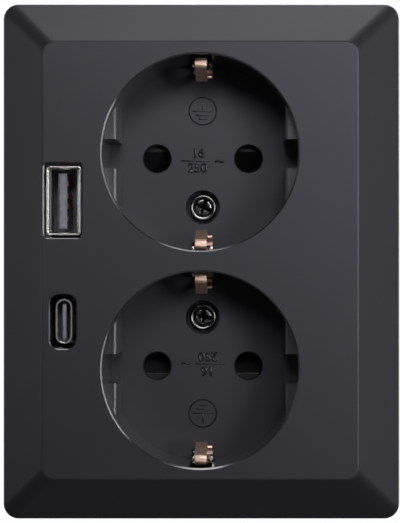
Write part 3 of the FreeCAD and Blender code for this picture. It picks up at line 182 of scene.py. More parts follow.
def soften(piece: bpy.types.Object, width: float, segments: int = 2, angle: float = 35.0) -> None:
    """Rounds the sharp edges of a new piece and shades it smooth.

    Args:
        piece: The object to finish.
        width: Width of the rounding.
        segments: Faces across it.
        angle: Edges sharper than this, in degrees, are rounded.
    """
    use_modifier(piece, "BEVEL", width=width, segments=segments, limit_method="ANGLE",
                 angle_limit=math.radians(angle), use_clamp_overlap=True)
    select_only(piece)
    bpy.ops.object.shade_smooth_by_angle(angle=math.radians(angle))


class Graph:
    """Adds and links the nodes of one tree."""

    def __init__(self, tree: bpy.types.NodeTree) -> None:
        """Keeps the tree that is added to."""
        self.tree = tree

    def add(self, kind: str, inputs: dict[str | int, object] | None = None,
            **settings: object) -> bpy.types.Node:
        """Adds one node.

        Args:
            kind: Type name of the node.
            inputs: Values or output sockets for its inputs.
            settings: Values of the node's own properties.

        Returns:
            The new node.
        """
        node = self.tree.nodes.new(kind)
        for name, value in settings.items():
            setattr(node, name, value)
        for name, value in (inputs or {}).items():
            if isinstance(value, bpy.types.NodeSocket):
                self.tree.links.new(value, node.inputs[name])
            else:
                node.inputs[name].default_value = value
        return node

    def link(self, source: bpy.types.NodeSocket, node: bpy.types.Node, name: str) -> None:
        """Links a socket to a named input of a node."""
        self.tree.links.new(source, node.inputs[name])

    def effect(self, name: str, inputs: dict[str | int, object]) -> bpy.types.NodeOutputs:
        """Outputs of a shared effect that is placed in this tree."""
        return self.add("ShaderNodeGroup", inputs, node_tree=shared_effect(name)).outputs

    def number(self, operation: str, first: object, second: object) -> bpy.types.NodeSocket:
        """Result of a sum on two numbers."""
        return self.add("ShaderNodeMath", {0: first, 1: second}, operation=operation).outputs[0]

    def vector(self, operation: str, *values: object) -> bpy.types.Node:
        """Node for a sum on vectors."""
        return self.add("ShaderNodeVectorMath", dict(enumerate(values)), operation=operation)

    def mix(self, factor: object, first: object, second: object) -> bpy.types.NodeSocket:
        """Colour between two colours by a factor."""
        return self.add("ShaderNodeMix", {0: factor, 6: first, 7: second}, data_type="RGBA").outputs[2]

    def mix_number(self, factor: bpy.types.NodeSocket, first: object, second: object) -> bpy.types.NodeSocket:
        """Number between two numbers by a factor."""
        return self.add("ShaderNodeMix", {0: factor, 2: first, 3: second}, data_type="FLOAT").outputs[0]

    def spread(self, value: bpy.types.NodeSocket, low: float, high: float) -> bpy.types.NodeSocket:
        """Maps a mask of 0 to 1 to a range."""
        return self.add("ShaderNodeMapRange", {0: value, 3: low, 4: high}).outputs[0]


def new_group(name: str, inputs: dict[str, float],
              outputs: dict[str, str]) -> tuple[bpy.types.NodeTree, Graph]:
    """Starts a shader node group with a Vector input, number inputs and named outputs.

    Args:
        name: Name of the group.
        inputs: Number inputs and their usual values.
        outputs: Output names and their socket types.

    Returns:
        The group and a graph to fill it.
    """
    tree = bpy.data.node_groups.new(name, "ShaderNodeTree")
    tree.interface.new_socket("Vector", in_out="INPUT", socket_type="NodeSocketVector")
    for label, value in inputs.items():
        socket = tree.interface.new_socket(label, in_out="INPUT", socket_type="NodeSocketFloat")
        socket.default_value = value
    for label, kind in outputs.items():
        tree.interface.new_socket(label, in_out="OUTPUT", socket_type=kind)
    return tree, Graph(tree)


def grain_group() -> bpy.types.NodeTree:
    """Fine eroded grain of a moulded surface, with soft clouds of gloss.

    Returns:
        The group, with Height, Grain and Cloud outputs.
    """
    number = "NodeSocketFloat"
    tree, graph = new_group("moulded_grain", {"Grain Scale": 4200.0, "Cloud Scale": 60.0},
                            {"Height": number, "Grain": number, "Cloud": number})
    given = graph.add("NodeGroupInput").outputs
    fine = graph.add("ShaderNodeTexNoise", {"Vector": given["Vector"], "Scale": given["Grain Scale"],
                                            "Detail": 2.0, "Roughness": 0.55})
    pits = graph.add("ShaderNodeTexVoronoi", {"Vector": given["Vector"], "Scale": given["Grain Scale"]})
    cloud = graph.add("ShaderNodeTexNoise", {"Vector": given["Vector"], "Scale": given["Cloud Scale"],
                                             "Detail": 3.0, "Roughness": 0.6})
    height = graph.number("ADD", fine.outputs["Fac"], graph.number("MULTIPLY", pits.outputs["Distance"], 0.6))
    graph.add("NodeGroupOutput", {"Height": height, "Grain": fine.outputs["Fac"],
                                  "Cloud": graph.spread(cloud.outputs["Fac"], -0.35, 1.35)})
    return tree


def streak_group() -> bpy.types.NodeTree:
    """Drawn streaks and faint stains of bare or plated sheet metal.

    Returns:
        The group, with Height, Streak and Stain outputs.
    """
    number = "NodeSocketFloat"
    tree, graph = new_group("drawn_streaks", {"Streak Scale": 6000.0, "Stain Scale": 900.0},
                            {"Height": number, "Streak": number, "Stain": number})
    given = graph.add("NodeGroupInput").outputs
    streak = graph.add("ShaderNodeTexNoise", {"Vector": given["Vector"], "Scale": given["Streak Scale"],
                                              "Detail": 3.0, "Roughness": 0.6})
    stain = graph.add("ShaderNodeTexNoise", {"Vector": given["Vector"], "Scale": given["Stain Scale"],
                                             "Detail": 4.0, "Roughness": 0.65})
    graph.add("NodeGroupOutput", {"Height": streak.outputs["Fac"], "Streak": streak.outputs["Fac"],
                                  "Stain": graph.spread(stain.outputs["Fac"], -0.6, 1.6)})
    return tree


def recess_group() -> bpy.types.NodeTree:
    """Mask of the walls of a round or rounded-square recess, between two levels.

    Returns:
        The group, with a Mask output that is 1 inside the recess.
    """
    tree, graph = new_group("recess_mask", {"Radius": 1.0, "Front": 0.0, "Back": 1.0},
                            {"Mask": "NodeSocketFloat"})
    for label in ("Centre", "Half Size"):
        tree.interface.new_socket(label, in_out="INPUT", socket_type="NodeSocketVector")
    given = graph.add("NodeGroupInput").outputs
    offset = graph.vector("SUBTRACT", given["Vector"], given["Centre"]).outputs[0]
    offset = graph.vector("MULTIPLY", offset, (1.0, 0.0, 1.0)).outputs[0]
    offset = graph.vector("ABSOLUTE", offset).outputs[0]
    offset = graph.vector("SUBTRACT", offset, given["Half Size"]).outputs[0]
    offset = graph.vector("MAXIMUM", offset, (0.0, 0.0, 0.0)).outputs[0]
    inside = graph.number("LESS_THAN", graph.vector("LENGTH", offset).outputs["Value"], given["Radius"])
    level = graph.add("ShaderNodeSeparateXYZ", {0: given["Vector"]}).outputs["Y"]
    behind = graph.number("GREATER_THAN", level, given["Front"])
    before = graph.number("LESS_THAN", level, given["Back"])
    between = graph.number("MULTIPLY", behind, before)
    graph.add("NodeGroupOutput", {"Mask": graph.number("MULTIPLY", inside, between)})
    return tree


GROUPS: dict[str, bpy.types.NodeTree] = {}


def shared_effect(name: str) -> bpy.types.NodeTree:
    """Shared node group of a name, built when it is first asked for.

    Args:
        name: Name of the group.

    Returns:
        The group.
    """
    makers = {"moulded_grain": grain_group, "drawn_streaks": streak_group, "recess_mask": recess_group}
    if name not in GROUPS:
        GROUPS[name] = makers[name]()
    return GROUPS[name]


def start_material(name: str) -> tuple[bpy.types.Material, Graph, bpy.types.Node]:
    """Starts a material with its Principled shader.

    Args:
        name: Name of the material.

    Returns:
        The material, a graph to fill it and the shader node.
    """
    material = bpy.data.materials.new(name)
    material.use_nodes = True
    graph = Graph(material.node_tree)
    return material, graph, material.node_tree.nodes["Principled BSDF"]


def shade(colour: Colour, factor: float) -> tuple[float, float, float, float]:
    """The same hue lighter or darker, as a socket's colour."""
    return (*(min(1.0, part * factor) for part in colour), 1.0)


WELL_WALL_MARGIN = 0.6 * MM
USB_A_WALL_MARGIN = 1.0 * MM
USB_C_WALL_MARGIN = 1.1 * MM


@dataclass(frozen=True)
class Recess:
    """Rounded rectangle of the face behind which the moulding is polished."""

    x: float
    z: float
    half_x: float
    half_z: float
    radius: float


def packed_recess(node: str, margin: float) -> Recess:
    """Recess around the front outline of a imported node.

    Args:
        node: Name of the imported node.
        margin: How far the recess reaches past the outline.

    Returns:
        The recess.
    """
    low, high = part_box(node)
    return Recess((low.x + high.x) / 2, (low.z + high.z) / 2,
                  (high.x - low.x) / 2, (high.z - low.z) / 2, margin)


def well_recess(side: int) -> Recess:
    """Recess of one well, around the tips of its earth springs.

    Args:
        side: 1 for the upper well and -1 for the lower one.

    Returns:
        The well's recess.
    """
    well = WELLS[0] if side > 0 else WELLS[1]
    low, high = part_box(f"earth_spring_{well}_bottom")[0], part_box(f"earth_spring_{well}_top")[1]
    return Recess(0.0, (low.z + high.z) / 2, 0.0, 0.0, (high.z - low.z) / 2 + WELL_WALL_MARGIN)


@dataclass(frozen=True)
class MouldedPlastic:
    """Moulded plastic with a fine grain and slightly uneven gloss, polished on the walls of its recesses."""

    name: str
    colour: Colour
    roughness: float
    specular: float = 0.5
    spread: float = 0.06
    grain_size: float = 0.24 * MM
    grain_depth: float = 0.004 * MM
    unevenness: float = 0.12
    cloud_size: float = 17.0 * MM
    recesses: tuple[Recess, ...] = ()
    recess_roughness: float = 0.32
    recess_gloss: float = 0.2
    recess_ior: float = 2.0
    recess_grain: float = 0.3
    recess_front: float = 0.01 * MM
    recess_back: float = WELL_DEPTH - 0.3 * MM
    gleam: Colour = (1.0, 1.0, 1.0)

    def recess_mask(self, graph: Graph, place: bpy.types.NodeSocket) -> bpy.types.NodeSocket | None:
        """Mask of all polished recesses, or nothing where there is none.

        Args:
            graph: Graph of the material.
            place: Place on the piece.

        Returns:
            The mask's socket.
        """
        total = None
        face_y = cad_box[0][1]
        for recess in self.recesses:
            mask = graph.effect("recess_mask", {
                "Vector": place, "Centre": (recess.x, 0.0, recess.z),
                "Half Size": (recess.half_x, 0.0, recess.half_z), "Radius": recess.radius,
                "Front": face_y + self.recess_front, "Back": face_y + self.recess_back,
            })["Mask"]
            total = graph.number("MAXIMUM", total, mask) if total else mask
        return total

    def material(self) -> bpy.types.Material:
        """Builds the material.

        Returns:
            The plastic's material.
        """
        material, graph, shader = start_material(self.name)
        place = graph.add("ShaderNodeTexCoord").outputs["Object"]
        grain = graph.effect("moulded_grain", {"Vector": place, "Grain Scale": 1.0 / self.grain_size,
                                               "Cloud Scale": 1.0 / self.cloud_size})
        colour = graph.mix(grain["Cloud"], shade(self.colour, 1 - self.unevenness),
                           shade(self.colour, 1 + self.unevenness))
        rough = graph.spread(grain["Grain"], self.roughness - self.spread, self.roughness + self.spread)
        height = grain["Height"]
        polished = self.recess_mask(graph, place)
        if polished:
            smooth = graph.spread(grain["Grain"], self.recess_roughness - self.spread / 2,
                                  self.recess_roughness + self.spread / 2)
            rough = graph.mix_number(polished, rough, smooth)
            height = graph.number("MULTIPLY", height, graph.spread(polished, 1.0, self.recess_grain))
            graph.link(polished, shader, "Coat Weight")
            shader.inputs["Coat Roughness"].default_value = self.recess_gloss
            shader.inputs["Coat IOR"].default_value = self.recess_ior
        bump = graph.add("ShaderNodeBump", {"Height": height, "Distance": self.grain_depth, "Strength": 1.0})
        graph.link(colour, shader, "Base Color")
        graph.link(rough, shader, "Roughness")
        graph.link(bump.outputs[0], shader, "Normal")
        shader.inputs["Specular IOR Level"].default_value = self.specular
        shader.inputs["Specular Tint"].default_value = (*self.gleam, 1.0)
        return material


@dataclass(frozen=True)
class SheetMetal:
    """Bare or plated metal with drawn streaks and faint stains."""

    name: str
    colour: Colour
    roughness: float
    along: Along = Along.Z
    stain: Colour | None = None
    spread: float = 0.10
    streak_size: float = 0.12 * MM
    streak_depth: float = 0.002 * MM

    def material(self) -> bpy.types.Material:
        """Builds the material.

        Returns:
            The metal's material.
        """
        material, graph, shader = start_material(self.name)
        place = graph.add("ShaderNodeTexCoord").outputs["Object"]
        stretched = graph.add("ShaderNodeMapping", {"Vector": place, "Scale": self.along.value}).outputs[0]
        streaks = graph.effect("drawn_streaks", {"Vector": stretched, "Streak Scale": 1.0 / self.streak_size})
        stain = shade(self.stain or self.colour, 1.0 if self.stain else 0.75)
        colour = graph.mix(streaks["Stain"], shade(self.colour, 1.0), stain)
        rough = graph.spread(streaks["Streak"], self.roughness - self.spread, self.roughness + self.spread)
        bump = graph.add("ShaderNodeBump", {"Height": streaks["Height"], "Distance": self.streak_depth,
                                            "Strength": 0.6})
        graph.link(colour, shader, "Base Color")
        graph.link(rough, shader, "Roughness")
        graph.link(bump.outputs[0], shader, "Normal")
        shader.inputs["Metallic"].default_value = 1.0
        return material


@dataclass(frozen=True)
class PrintedBoard:
    """Solder mask over copper tracks that run along the board."""

    name: str
    mask: Colour
    track: Colour
    pitch: float = 1.6 * MM
    copper: float = 0.03 * MM
    roughness: tuple[float, float] = (0.25, 0.4)

    def material(self) -> bpy.types.Material:
        """Builds the material.

        Returns:
            The board's material.
        """
        material, graph, shader = start_material(self.name)
        place = graph.add("ShaderNodeTexCoord").outputs["Object"]
        quarter = math.pi / 2
        turned = graph.add("ShaderNodeMapping", {"Vector": place, "Rotation": (0.0, quarter, quarter)})
        tracks = graph.add("ShaderNodeTexBrick", {
            "Vector": turned.outputs[0], "Scale": 1.0, "Mortar Size": self.pitch / 6,
            "Brick Width": self.pitch * 5, "Row Height": self.pitch, "Color1": (0, 0, 0, 1),
            "Color2": (0, 0, 0, 1), "Mortar": (1, 1, 1, 1),
        }).outputs["Color"]
        grain = graph.effect("moulded_grain", {"Vector": place})
        colour = graph.mix(tracks, shade(self.mask, 1.0), shade(self.track, 1.0))
        bump = graph.add("ShaderNodeBump", {"Height": tracks, "Distance": self.copper})
        graph.link(colour, shader, "Base Color")
        graph.link(graph.spread(grain["Grain"], *self.roughness), shader, "Roughness")
        graph.link(bump.outputs[0], shader, "Normal")
        return material


COVER_BLACK = MouldedPlastic(
    "cover_matt_black", (0.0098, 0.0090, 0.0125), 0.46, unevenness=0.06, gleam=(0.97, 0.95, 1.08),
    recesses=(well_recess(1), well_recess(-1), packed_recess("usb_a_shell", USB_A_WALL_MARGIN),
              packed_recess("usb_c_shell", USB_C_WALL_MARGIN)))
MARK_BLACK = replace(COVER_BLACK, name="marks_black", roughness=0.22, recesses=())
BASE_GREY = MouldedPlastic("base_light_grey", (0.55, 0.55, 0.53), 0.5, grain_size=0.4 * MM)
CARRIER_BLACK = MouldedPlastic("carrier_dark", (0.05, 0.05, 0.052), 0.5)
SHUTTER_BLACK = MouldedPlastic("shutter_black", (0.008, 0.008, 0.009), 0.35, specular=0.25)
SCREW_BLACK = SheetMetal("screw_black_oxide", (0.17, 0.17, 0.165), 0.2, Along.Y, spread=0.05)
ZINC_SHEET = SheetMetal("zinc_plated_sheet", (0.62, 0.63, 0.65), 0.34, Along.Z, stain=(0.45, 0.46, 0.5))
ZINC_SCREW = SheetMetal("zinc_plated_screw", (0.7, 0.7, 0.72), 0.25, Along.Y)
SPRING_STEEL = SheetMetal("spring_steel", (0.5, 0.5, 0.5), 0.3, Along.Z)
CONTACT_BRASS = SheetMetal("contact_brass", (0.78, 0.57, 0.24), 0.28, Along.Z, stain=(0.6, 0.38, 0.16))
NICKEL = SheetMetal("nickel_plate", (0.66, 0.64, 0.6), 0.24, Along.X)
EARTH_BRONZE = SheetMetal("earth_bronze", (0.92, 0.67, 0.56), 0.52, Along.Y, stain=(0.74, 0.5, 0.4),
                          spread=0.06)
PORT_NICKEL = SheetMetal("port_nickel", (0.8, 0.79, 0.76), 0.25, Along.Y, spread=0.03)
GOLD_FLASH = SheetMetal("gold_flashed", (0.42, 0.24, 0.13), 0.3, Along.Y)
TONGUE_GREY = MouldedPlastic("tongue_lilac_grey", (0.17, 0.17, 0.21), 0.42, grain_size=0.5 * MM,
                             unevenness=0.5, cloud_size=1.8 * MM)
LIVE_BROWN = MouldedPlastic("button_brown", (0.16, 0.06, 0.025), 0.35)
NEUTRAL_BLUE = MouldedPlastic("button_blue", (0.03, 0.12, 0.42), 0.35)
EARTH_GREEN = MouldedPlastic("button_green", (0.07, 0.3, 0.05), 0.35)
BOARD_GREEN = PrintedBoard("board_solder_mask", (0.006, 0.03, 0.013), (0.015, 0.07, 0.03))
FERRITE = MouldedPlastic("ferrite", (0.035, 0.035, 0.038), 0.4, grain_size=0.15 * MM, grain_depth=0.012 * MM)
TAPE = MouldedPlastic("winding_tape", (0.75, 0.5, 0.03), 0.3, grain_size=1.1 * MM, grain_depth=0.03 * MM)
SLEEVE = MouldedPlastic("shrunk_sleeve", (0.015, 0.015, 0.03), 0.25, grain_size=0.8 * MM)
CERAMIC = MouldedPlastic("fuse_ceramic", (0.7, 0.68, 0.6), 0.2, grain_size=0.5 * MM)
EPOXY = MouldedPlastic("black_epoxy", (0.02, 0.02, 0.02), 0.55, grain_size=0.1 * MM, grain_depth=0.008 * MM)

FINISHES = {
    "cover_plastic": COVER_BLACK, "black_screw": SCREW_BLACK, "zinc_steel": ZINC_SHEET,
    "zinc_screw": ZINC_SCREW, "base_plastic": BASE_GREY, "carrier_plastic": CARRIER_BLACK,
    "shutter_plastic": SHUTTER_BLACK, "spring_steel": SPRING_STEEL, "contact_brass": CONTACT_BRASS,
    "nickel_plate": NICKEL, "earth_bronze": EARTH_BRONZE, "live_button_plastic": LIVE_BROWN,
    "neutral_button_plastic": NEUTRAL_BLUE, "earth_button_plastic": EARTH_GREEN, "port_shell": PORT_NICKEL,
    "tongue_plastic": TONGUE_GREY, "gold_contact": GOLD_FLASH, "circuit_board": BOARD_GREEN,
    "ferrite": FERRITE, "winding_tape": TAPE, "capacitor_sleeve": SLEEVE, "fuse_ceramic": CERAMIC,
    "black_epoxy": EPOXY,
}
EDGE_WIDTHS = {
    "front_cover": 0.12 * MM, "earth_bar": 0.08 * MM, "usb_a_tongue": 0.08 * MM, "usb_c_shell": 0.05 * MM,
    "usb_c_tongue": 0.05 * MM, "socket_base": 0.15 * MM, "mounting_plate": 0.08 * MM,
    **{f"earth_spring_{well}_{end}": 0.05 * MM for well in WELLS for end in ("top", "bottom")},
    **{f"shutter_{well}": 0.1 * MM for well in WELLS},
    **{f"release_button_{wire}": 0.2 * MM for wire in ("live", "neutral", "earth")},
}


class Paintbox:
    """Materials by the record's slot names, each built once, and the one of the raised marks."""

    def __init__(self) -> None:
        """Starts with only the material of the raised marks."""
        self.made: dict[str, bpy.types.Material] = {}
        self.raised_marks = MARK_BLACK.material()

    def material(self, slot: str) -> bpy.types.Material:
        """Material of a slot, built when it is first asked for.

        Args:
            slot: The record's name of the slot.

        Returns:
            The slot's material.
        """
        if slot not in self.made:
            self.made[slot] = FINISHES[slot].material()
        return self.made[slot]

    def dress(self, piece: bpy.types.Object, slot: str) -> None:
        """Gives a piece one slot's material all over."""
        piece.data.materials.clear()
        piece.data.materials.append(self.material(slot))


@dataclass
class PackedPieces:
    """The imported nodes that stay, with soft edges and their own finish."""

    paintbox: Paintbox
    segments: int = 2
    flat_within: float = math.radians(0.2)
    sharp_from: float = math.radians(32)

    def round_edges(self, node: bpy.types.Object, width: float) -> None:
        """Adds live modifiers that join a node's triangles and round its edges.

        Args:
            node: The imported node's object.
            width: Width of the rounding.
        """
        weld = node.modifiers.new("joined_triangles", "WELD")
        weld.merge_threshold = MERGE_DISTANCE
        flat = node.modifiers.new("flat_faces", "DECIMATE")
        flat.decimate_type = "DISSOLVE"
        flat.angle_limit = self.flat_within
        soft = node.modifiers.new("soft_edges", "BEVEL")
        soft.width = width
        soft.segments = self.segments
        soft.limit_method = "ANGLE"
        soft.angle_limit = self.sharp_from
        soft.use_clamp_overlap = True
        even = node.modifiers.new("even_shading", "WEIGHTED_NORMAL")
        even.keep_sharp = False
        select_only(node)
        bpy.ops.object.shade_smooth()

    def build(self) -> None:
        """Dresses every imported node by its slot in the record."""
        for row in frame["record"]["subparts"]:
            node = frame["nodes"][row["node"]]
            self.paintbox.dress(node, row["material_slot"])
            if row["node"] in EDGE_WIDTHS:
                self.round_edges(node, EDGE_WIDTHS[row["node"]])
            log.info("dressed %s as %s", row["node"], row["material_slot"])


@dataclass
class WellMarks:
    """Raised rating marks and earth sign on the floor of one well."""

    name: str
    well_z: float
    floor_y: float
    turned: bool
    relief: float = 0.17 * MM
    sunk: float = 0.03 * MM
    stroke: float = 0.3 * MM
    text_height: float = 1.9 * MM
    wave_height: float = 2.4 * MM
    figure_share: float = 0.7
    thinning: float = 0.03
    current_place: tuple[float, float] = (-0.95 * MM, 1.05 * MM)
    voltage_place: tuple[float, float] = (-1.1 * MM, -2.0 * MM)
    dash_place: tuple[float, float] = (-1.45 * MM, -0.45 * MM)
    dash_length: float = 6.1 * MM
    wave_place: tuple[float, float] = (3.5 * MM, -0.45 * MM)
    ring_radius: float = 2.85 * MM
    ring_z: float = 9.9 * MM
    stem_height: float = 2.1 * MM
    earth_bars: tuple[tuple[float, float], ...] = (
        (0.05 * MM, 4.3 * MM), (0.85 * MM, 3.0 * MM), (1.65 * MM, 1.7 * MM))

    def stroke_bar(self, x: float, z: float, width: float, height: float) -> bpy.types.Object:
        """One straight raised stroke.

        Args:
            x: Middle across.
            z: Middle up.
            width: Size across.
            height: Size up.

        Returns:
            The stroke.
        """
        depth = self.relief + self.sunk
        stroke = bar((width, depth, height), (x, self.sunk - depth / 2, z))
        soften(stroke, 0.8 * self.relief, 3)
        return stroke

    def figures(self, text: str, x: float, z: float, height: float) -> bpy.types.Object:
        """Raised plain figures.

        Args:
            text: The figures.
            x: Middle across.
            z: Middle up.
            height: Height of a figure.

        Returns:
            The figures as a mesh.
        """
        bpy.ops.object.text_add(rotation=(math.pi / 2, 0, 0))
        piece = bpy.context.object
        piece.data.body = text
        piece.data.align_x = "CENTER"
        piece.data.align_y = "CENTER"
        piece.data.size = height / self.figure_share
        piece.data.offset = -self.thinning * height
        piece.data.resolution_u = 4
        piece.data.bevel_depth = self.relief
        piece.data.bevel_resolution = 2
        piece.location = (x, 0, z)
        select_only(piece)
        bpy.ops.object.convert(target="MESH")
        return settle(bpy.context.object)

    def ring(self) -> bpy.types.Object:
        """Raised ring around the earth sign.

        Returns:
            The ring.
        """
        bpy.ops.mesh.primitive_torus_add(
            major_segments=72, minor_segments=10, major_radius=self.ring_radius, minor_radius=self.stroke / 2,
            location=(0, 0, self.ring_z), rotation=(math.pi / 2, 0, 0))
        ring = bpy.context.object
        ring.scale = (1, 1, self.relief / self.stroke * 2)
        return settle(ring)

    def earth_sign(self) -> list[bpy.types.Object]:
        """Stem and three shrinking bars inside the ring.

        Returns:
            The four strokes.
        """
        stem = self.stroke_bar(0, self.ring_z + self.stem_height / 2, self.stroke, self.stem_height)
        return [stem] + [self.stroke_bar(0, self.ring_z - drop, width, self.stroke)
                         for drop, width in self.earth_bars]

    def build(self, paintbox: Paintbox) -> bpy.types.Object:
        """Builds the marks and puts them on their floor.

        Args:
            paintbox: Where the material comes from.

        Returns:
            The marks as one piece.
        """
        marks = join(self.earth_sign() + [
            self.ring(),
            self.figures("16", *self.current_place, self.text_height),
            self.stroke_bar(*self.dash_place, self.dash_length, self.stroke),
            self.figures("250", *self.voltage_place, self.text_height),
            self.figures("~", *self.wave_place, self.wave_height),
        ], self.name)
        marks.rotation_euler = (0, math.pi if self.turned else 0, 0)
        marks.location = (0, self.floor_y, self.well_z)
        settle(marks)
        marks.data.materials.clear()
        marks.data.materials.append(paintbox.raised_marks)
        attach(marks, Body.SOCKET.value)
        log.info("built %s", self.name)
        return marks


@dataclass
class CoverScrew:
    """Pan-head screw with a bright rim, a sunk ring and four lobes round a cross recess."""

    node: str
    turn: float
    head_height: float = 2.1 * MM
    shank_radius: float = 1.45 * MM
    rim_round: float = 0.42 * MM
    sunk_radius: float = 2.3 * MM
    sunk_depth: float = 0.5 * MM
    lobe_radius: float = 2.15 * MM
    lobe_round: float = 0.75 * MM
    lobe_drop: float = 0.06 * MM
    arm_width: float = 1.15 * MM
    recess_depth: float = 1.6 * MM
    recess_overshoot: float = 0.5 * MM
    narrowing: float = 0.6
    head_edge: float = 0.05 * MM
    lobe_edge: float = 0.16 * MM

    def rounded_rod(self, radius: float, front_y: float, middle_z: float,
                    rounding: float) -> bpy.types.Object:
        """Round bar whose front rim is rounded.

        Args:
            radius: Its radius.
            front_y: Level of its front.
            middle_z: Height of its axis.
            rounding: Radius of the rounding.

        Returns:
            The bar, as long as the head is high.
        """
        piece = rod(radius, (0, front_y, middle_z), self.head_height, sides=72)
        select_only(piece)
        bpy.ops.object.mode_set(mode="EDIT")
        bpy.ops.mesh.select_mode(type="EDGE")
        bpy.ops.mesh.select_all(action="DESELECT")
        bpy.ops.object.mode_set(mode="OBJECT")
        corners = piece.data.vertices
        for edge in piece.data.edges:
            edge.select = max(corners[index].co.y for index in edge.vertices) < front_y + LEVEL_SLACK
        bpy.ops.object.mode_set(mode="EDIT")
        bpy.ops.mesh.bevel(offset=rounding, segments=6, profile=0.5, clamp_overlap=False)
        bpy.ops.object.mode_set(mode="OBJECT")
        return piece

    def recess_arm(self, front_y: float, middle_z: float, turn: float) -> bpy.types.Object:
        """One tapered arm of the cross recess.

        Args:
            front_y: Level of the head's front.
            middle_z: Height of the screw's axis.
            turn: Angle of the arm, in degrees.

        Returns:
            The arm, as a cutter.
        """
        depth = self.recess_depth + self.recess_overshoot
        middle_y = front_y - self.recess_overshoot + depth / 2
        arm = bar((self.arm_width, depth, 2 * self.sunk_radius), (0, middle_y, 0))
        for vertex in arm.data.vertices:
            if vertex.co.y > front_y:
                vertex.co.x *= self.narrowing
                vertex.co.z *= self.narrowing
        arm.location = (0, 0, middle_z)
        arm.rotation_euler = (0, math.radians(turn), 0)
        return settle(arm)

    def build(self, paintbox: Paintbox) -> bpy.types.Object:
        """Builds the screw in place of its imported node.

        Args:
            paintbox: Where the material comes from.

        Returns:
            The screw.
        """
        low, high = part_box(self.node)
        middle_z = (low.z + high.z) / 2
        head = self.rounded_rod((high.x - low.x) / 2, low.y, middle_z, self.rim_round)
        cut_away(head, rod(self.sunk_radius, (0, low.y - self.sunk_depth, middle_z), 2 * self.sunk_depth))
        lobes = self.rounded_rod(self.lobe_radius, low.y + self.lobe_drop, middle_z, self.lobe_round)
        for turn in (self.turn, self.turn + 90):
            cut_away(lobes, self.recess_arm(low.y, middle_z, turn))
            cut_away(head, self.recess_arm(low.y, middle_z, turn))
        soften(head, self.head_edge, 2, 40)
        soften(lobes, self.lobe_edge, 3, 50)
        shank = rod(self.shank_radius, (0, low.y + self.head_height, middle_z),
                    high.y - low.y - self.head_height, sides=32)
        screw = join([head, lobes, shank], self.node + "_detailed")
        paintbox.dress(screw, "black_screw")
        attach(screw, Body.SOCKET.value)
        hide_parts(self.node)
        log.info("built %s", screw.name)
        return screw


@dataclass
class PortShell:
    """Drawn metal shell of a charging port, with its mouth turned out to a lip."""

    node: str
    lip: float = 0.3 * MM
    flare_length: float = 1.0 * MM
    lip_depth: float = 0.573 * MM
    edge_round: float = 0.04 * MM

    def build(self, paintbox: Paintbox) -> bpy.types.Object:
        """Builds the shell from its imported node, with the long sides of its mouth turned out further.

        Args:
            paintbox: Where the material comes from.

        Returns:
            The shell.
        """
        low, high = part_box(self.node)
        piece = bpy.data.objects.new(self.node + "_lipped", frame["nodes"][self.node].data.copy())
        bpy.context.scene.collection.objects.link(piece)
        select_only(piece)
        bpy.ops.object.shade_smooth()
        bpy.ops.object.mode_set(mode="EDIT")
        bpy.ops.mesh.select_all(action="SELECT")
        bpy.ops.mesh.remove_doubles(threshold=MERGE_DISTANCE)
        bpy.ops.object.mode_set(mode="OBJECT")
        middle, half = (low + high) / 2, (high - low) / 2
        for vertex in piece.data.vertices:
            depth = vertex.co.y - low.y
            if depth < LEVEL_SLACK:
                vertex.co.x = middle.x + (vertex.co.x - middle.x) * (1 + self.lip / half.x)
            elif abs(depth - self.flare_length) < LEVEL_SLACK:
                vertex.co.y = low.y + self.lip_depth
        soften(piece, self.edge_round, 2, 40)
        paintbox.dress(piece, "port_shell")
        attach(piece, Body.SOCKET.value)
        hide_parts(self.node)
        log.info("built %s", piece.name)
        return piece


@dataclass(frozen=True)
class Softbox:
    """One rectangular studio lamp."""

    name: str
    place: Place
    target: Place
    size: tuple[float, float]
    power: float

    def build(self) -> None:
        """Hangs the lamp and turns it to its target."""
        lamp = bpy.data.lights.new(self.name, "AREA")
        lamp.shape = "RECTANGLE"
        lamp.size, lamp.size_y = self.size
        lamp.energy = self.power
        holder = bpy.data.objects.new(self.name, lamp)
        bpy.context.scene.collection.objects.link(holder)
        holder.location = self.place
        holder.rotation_euler = (Vector(self.target) - Vector(self.place)).to_track_quat("-Z", "Y").to_euler()


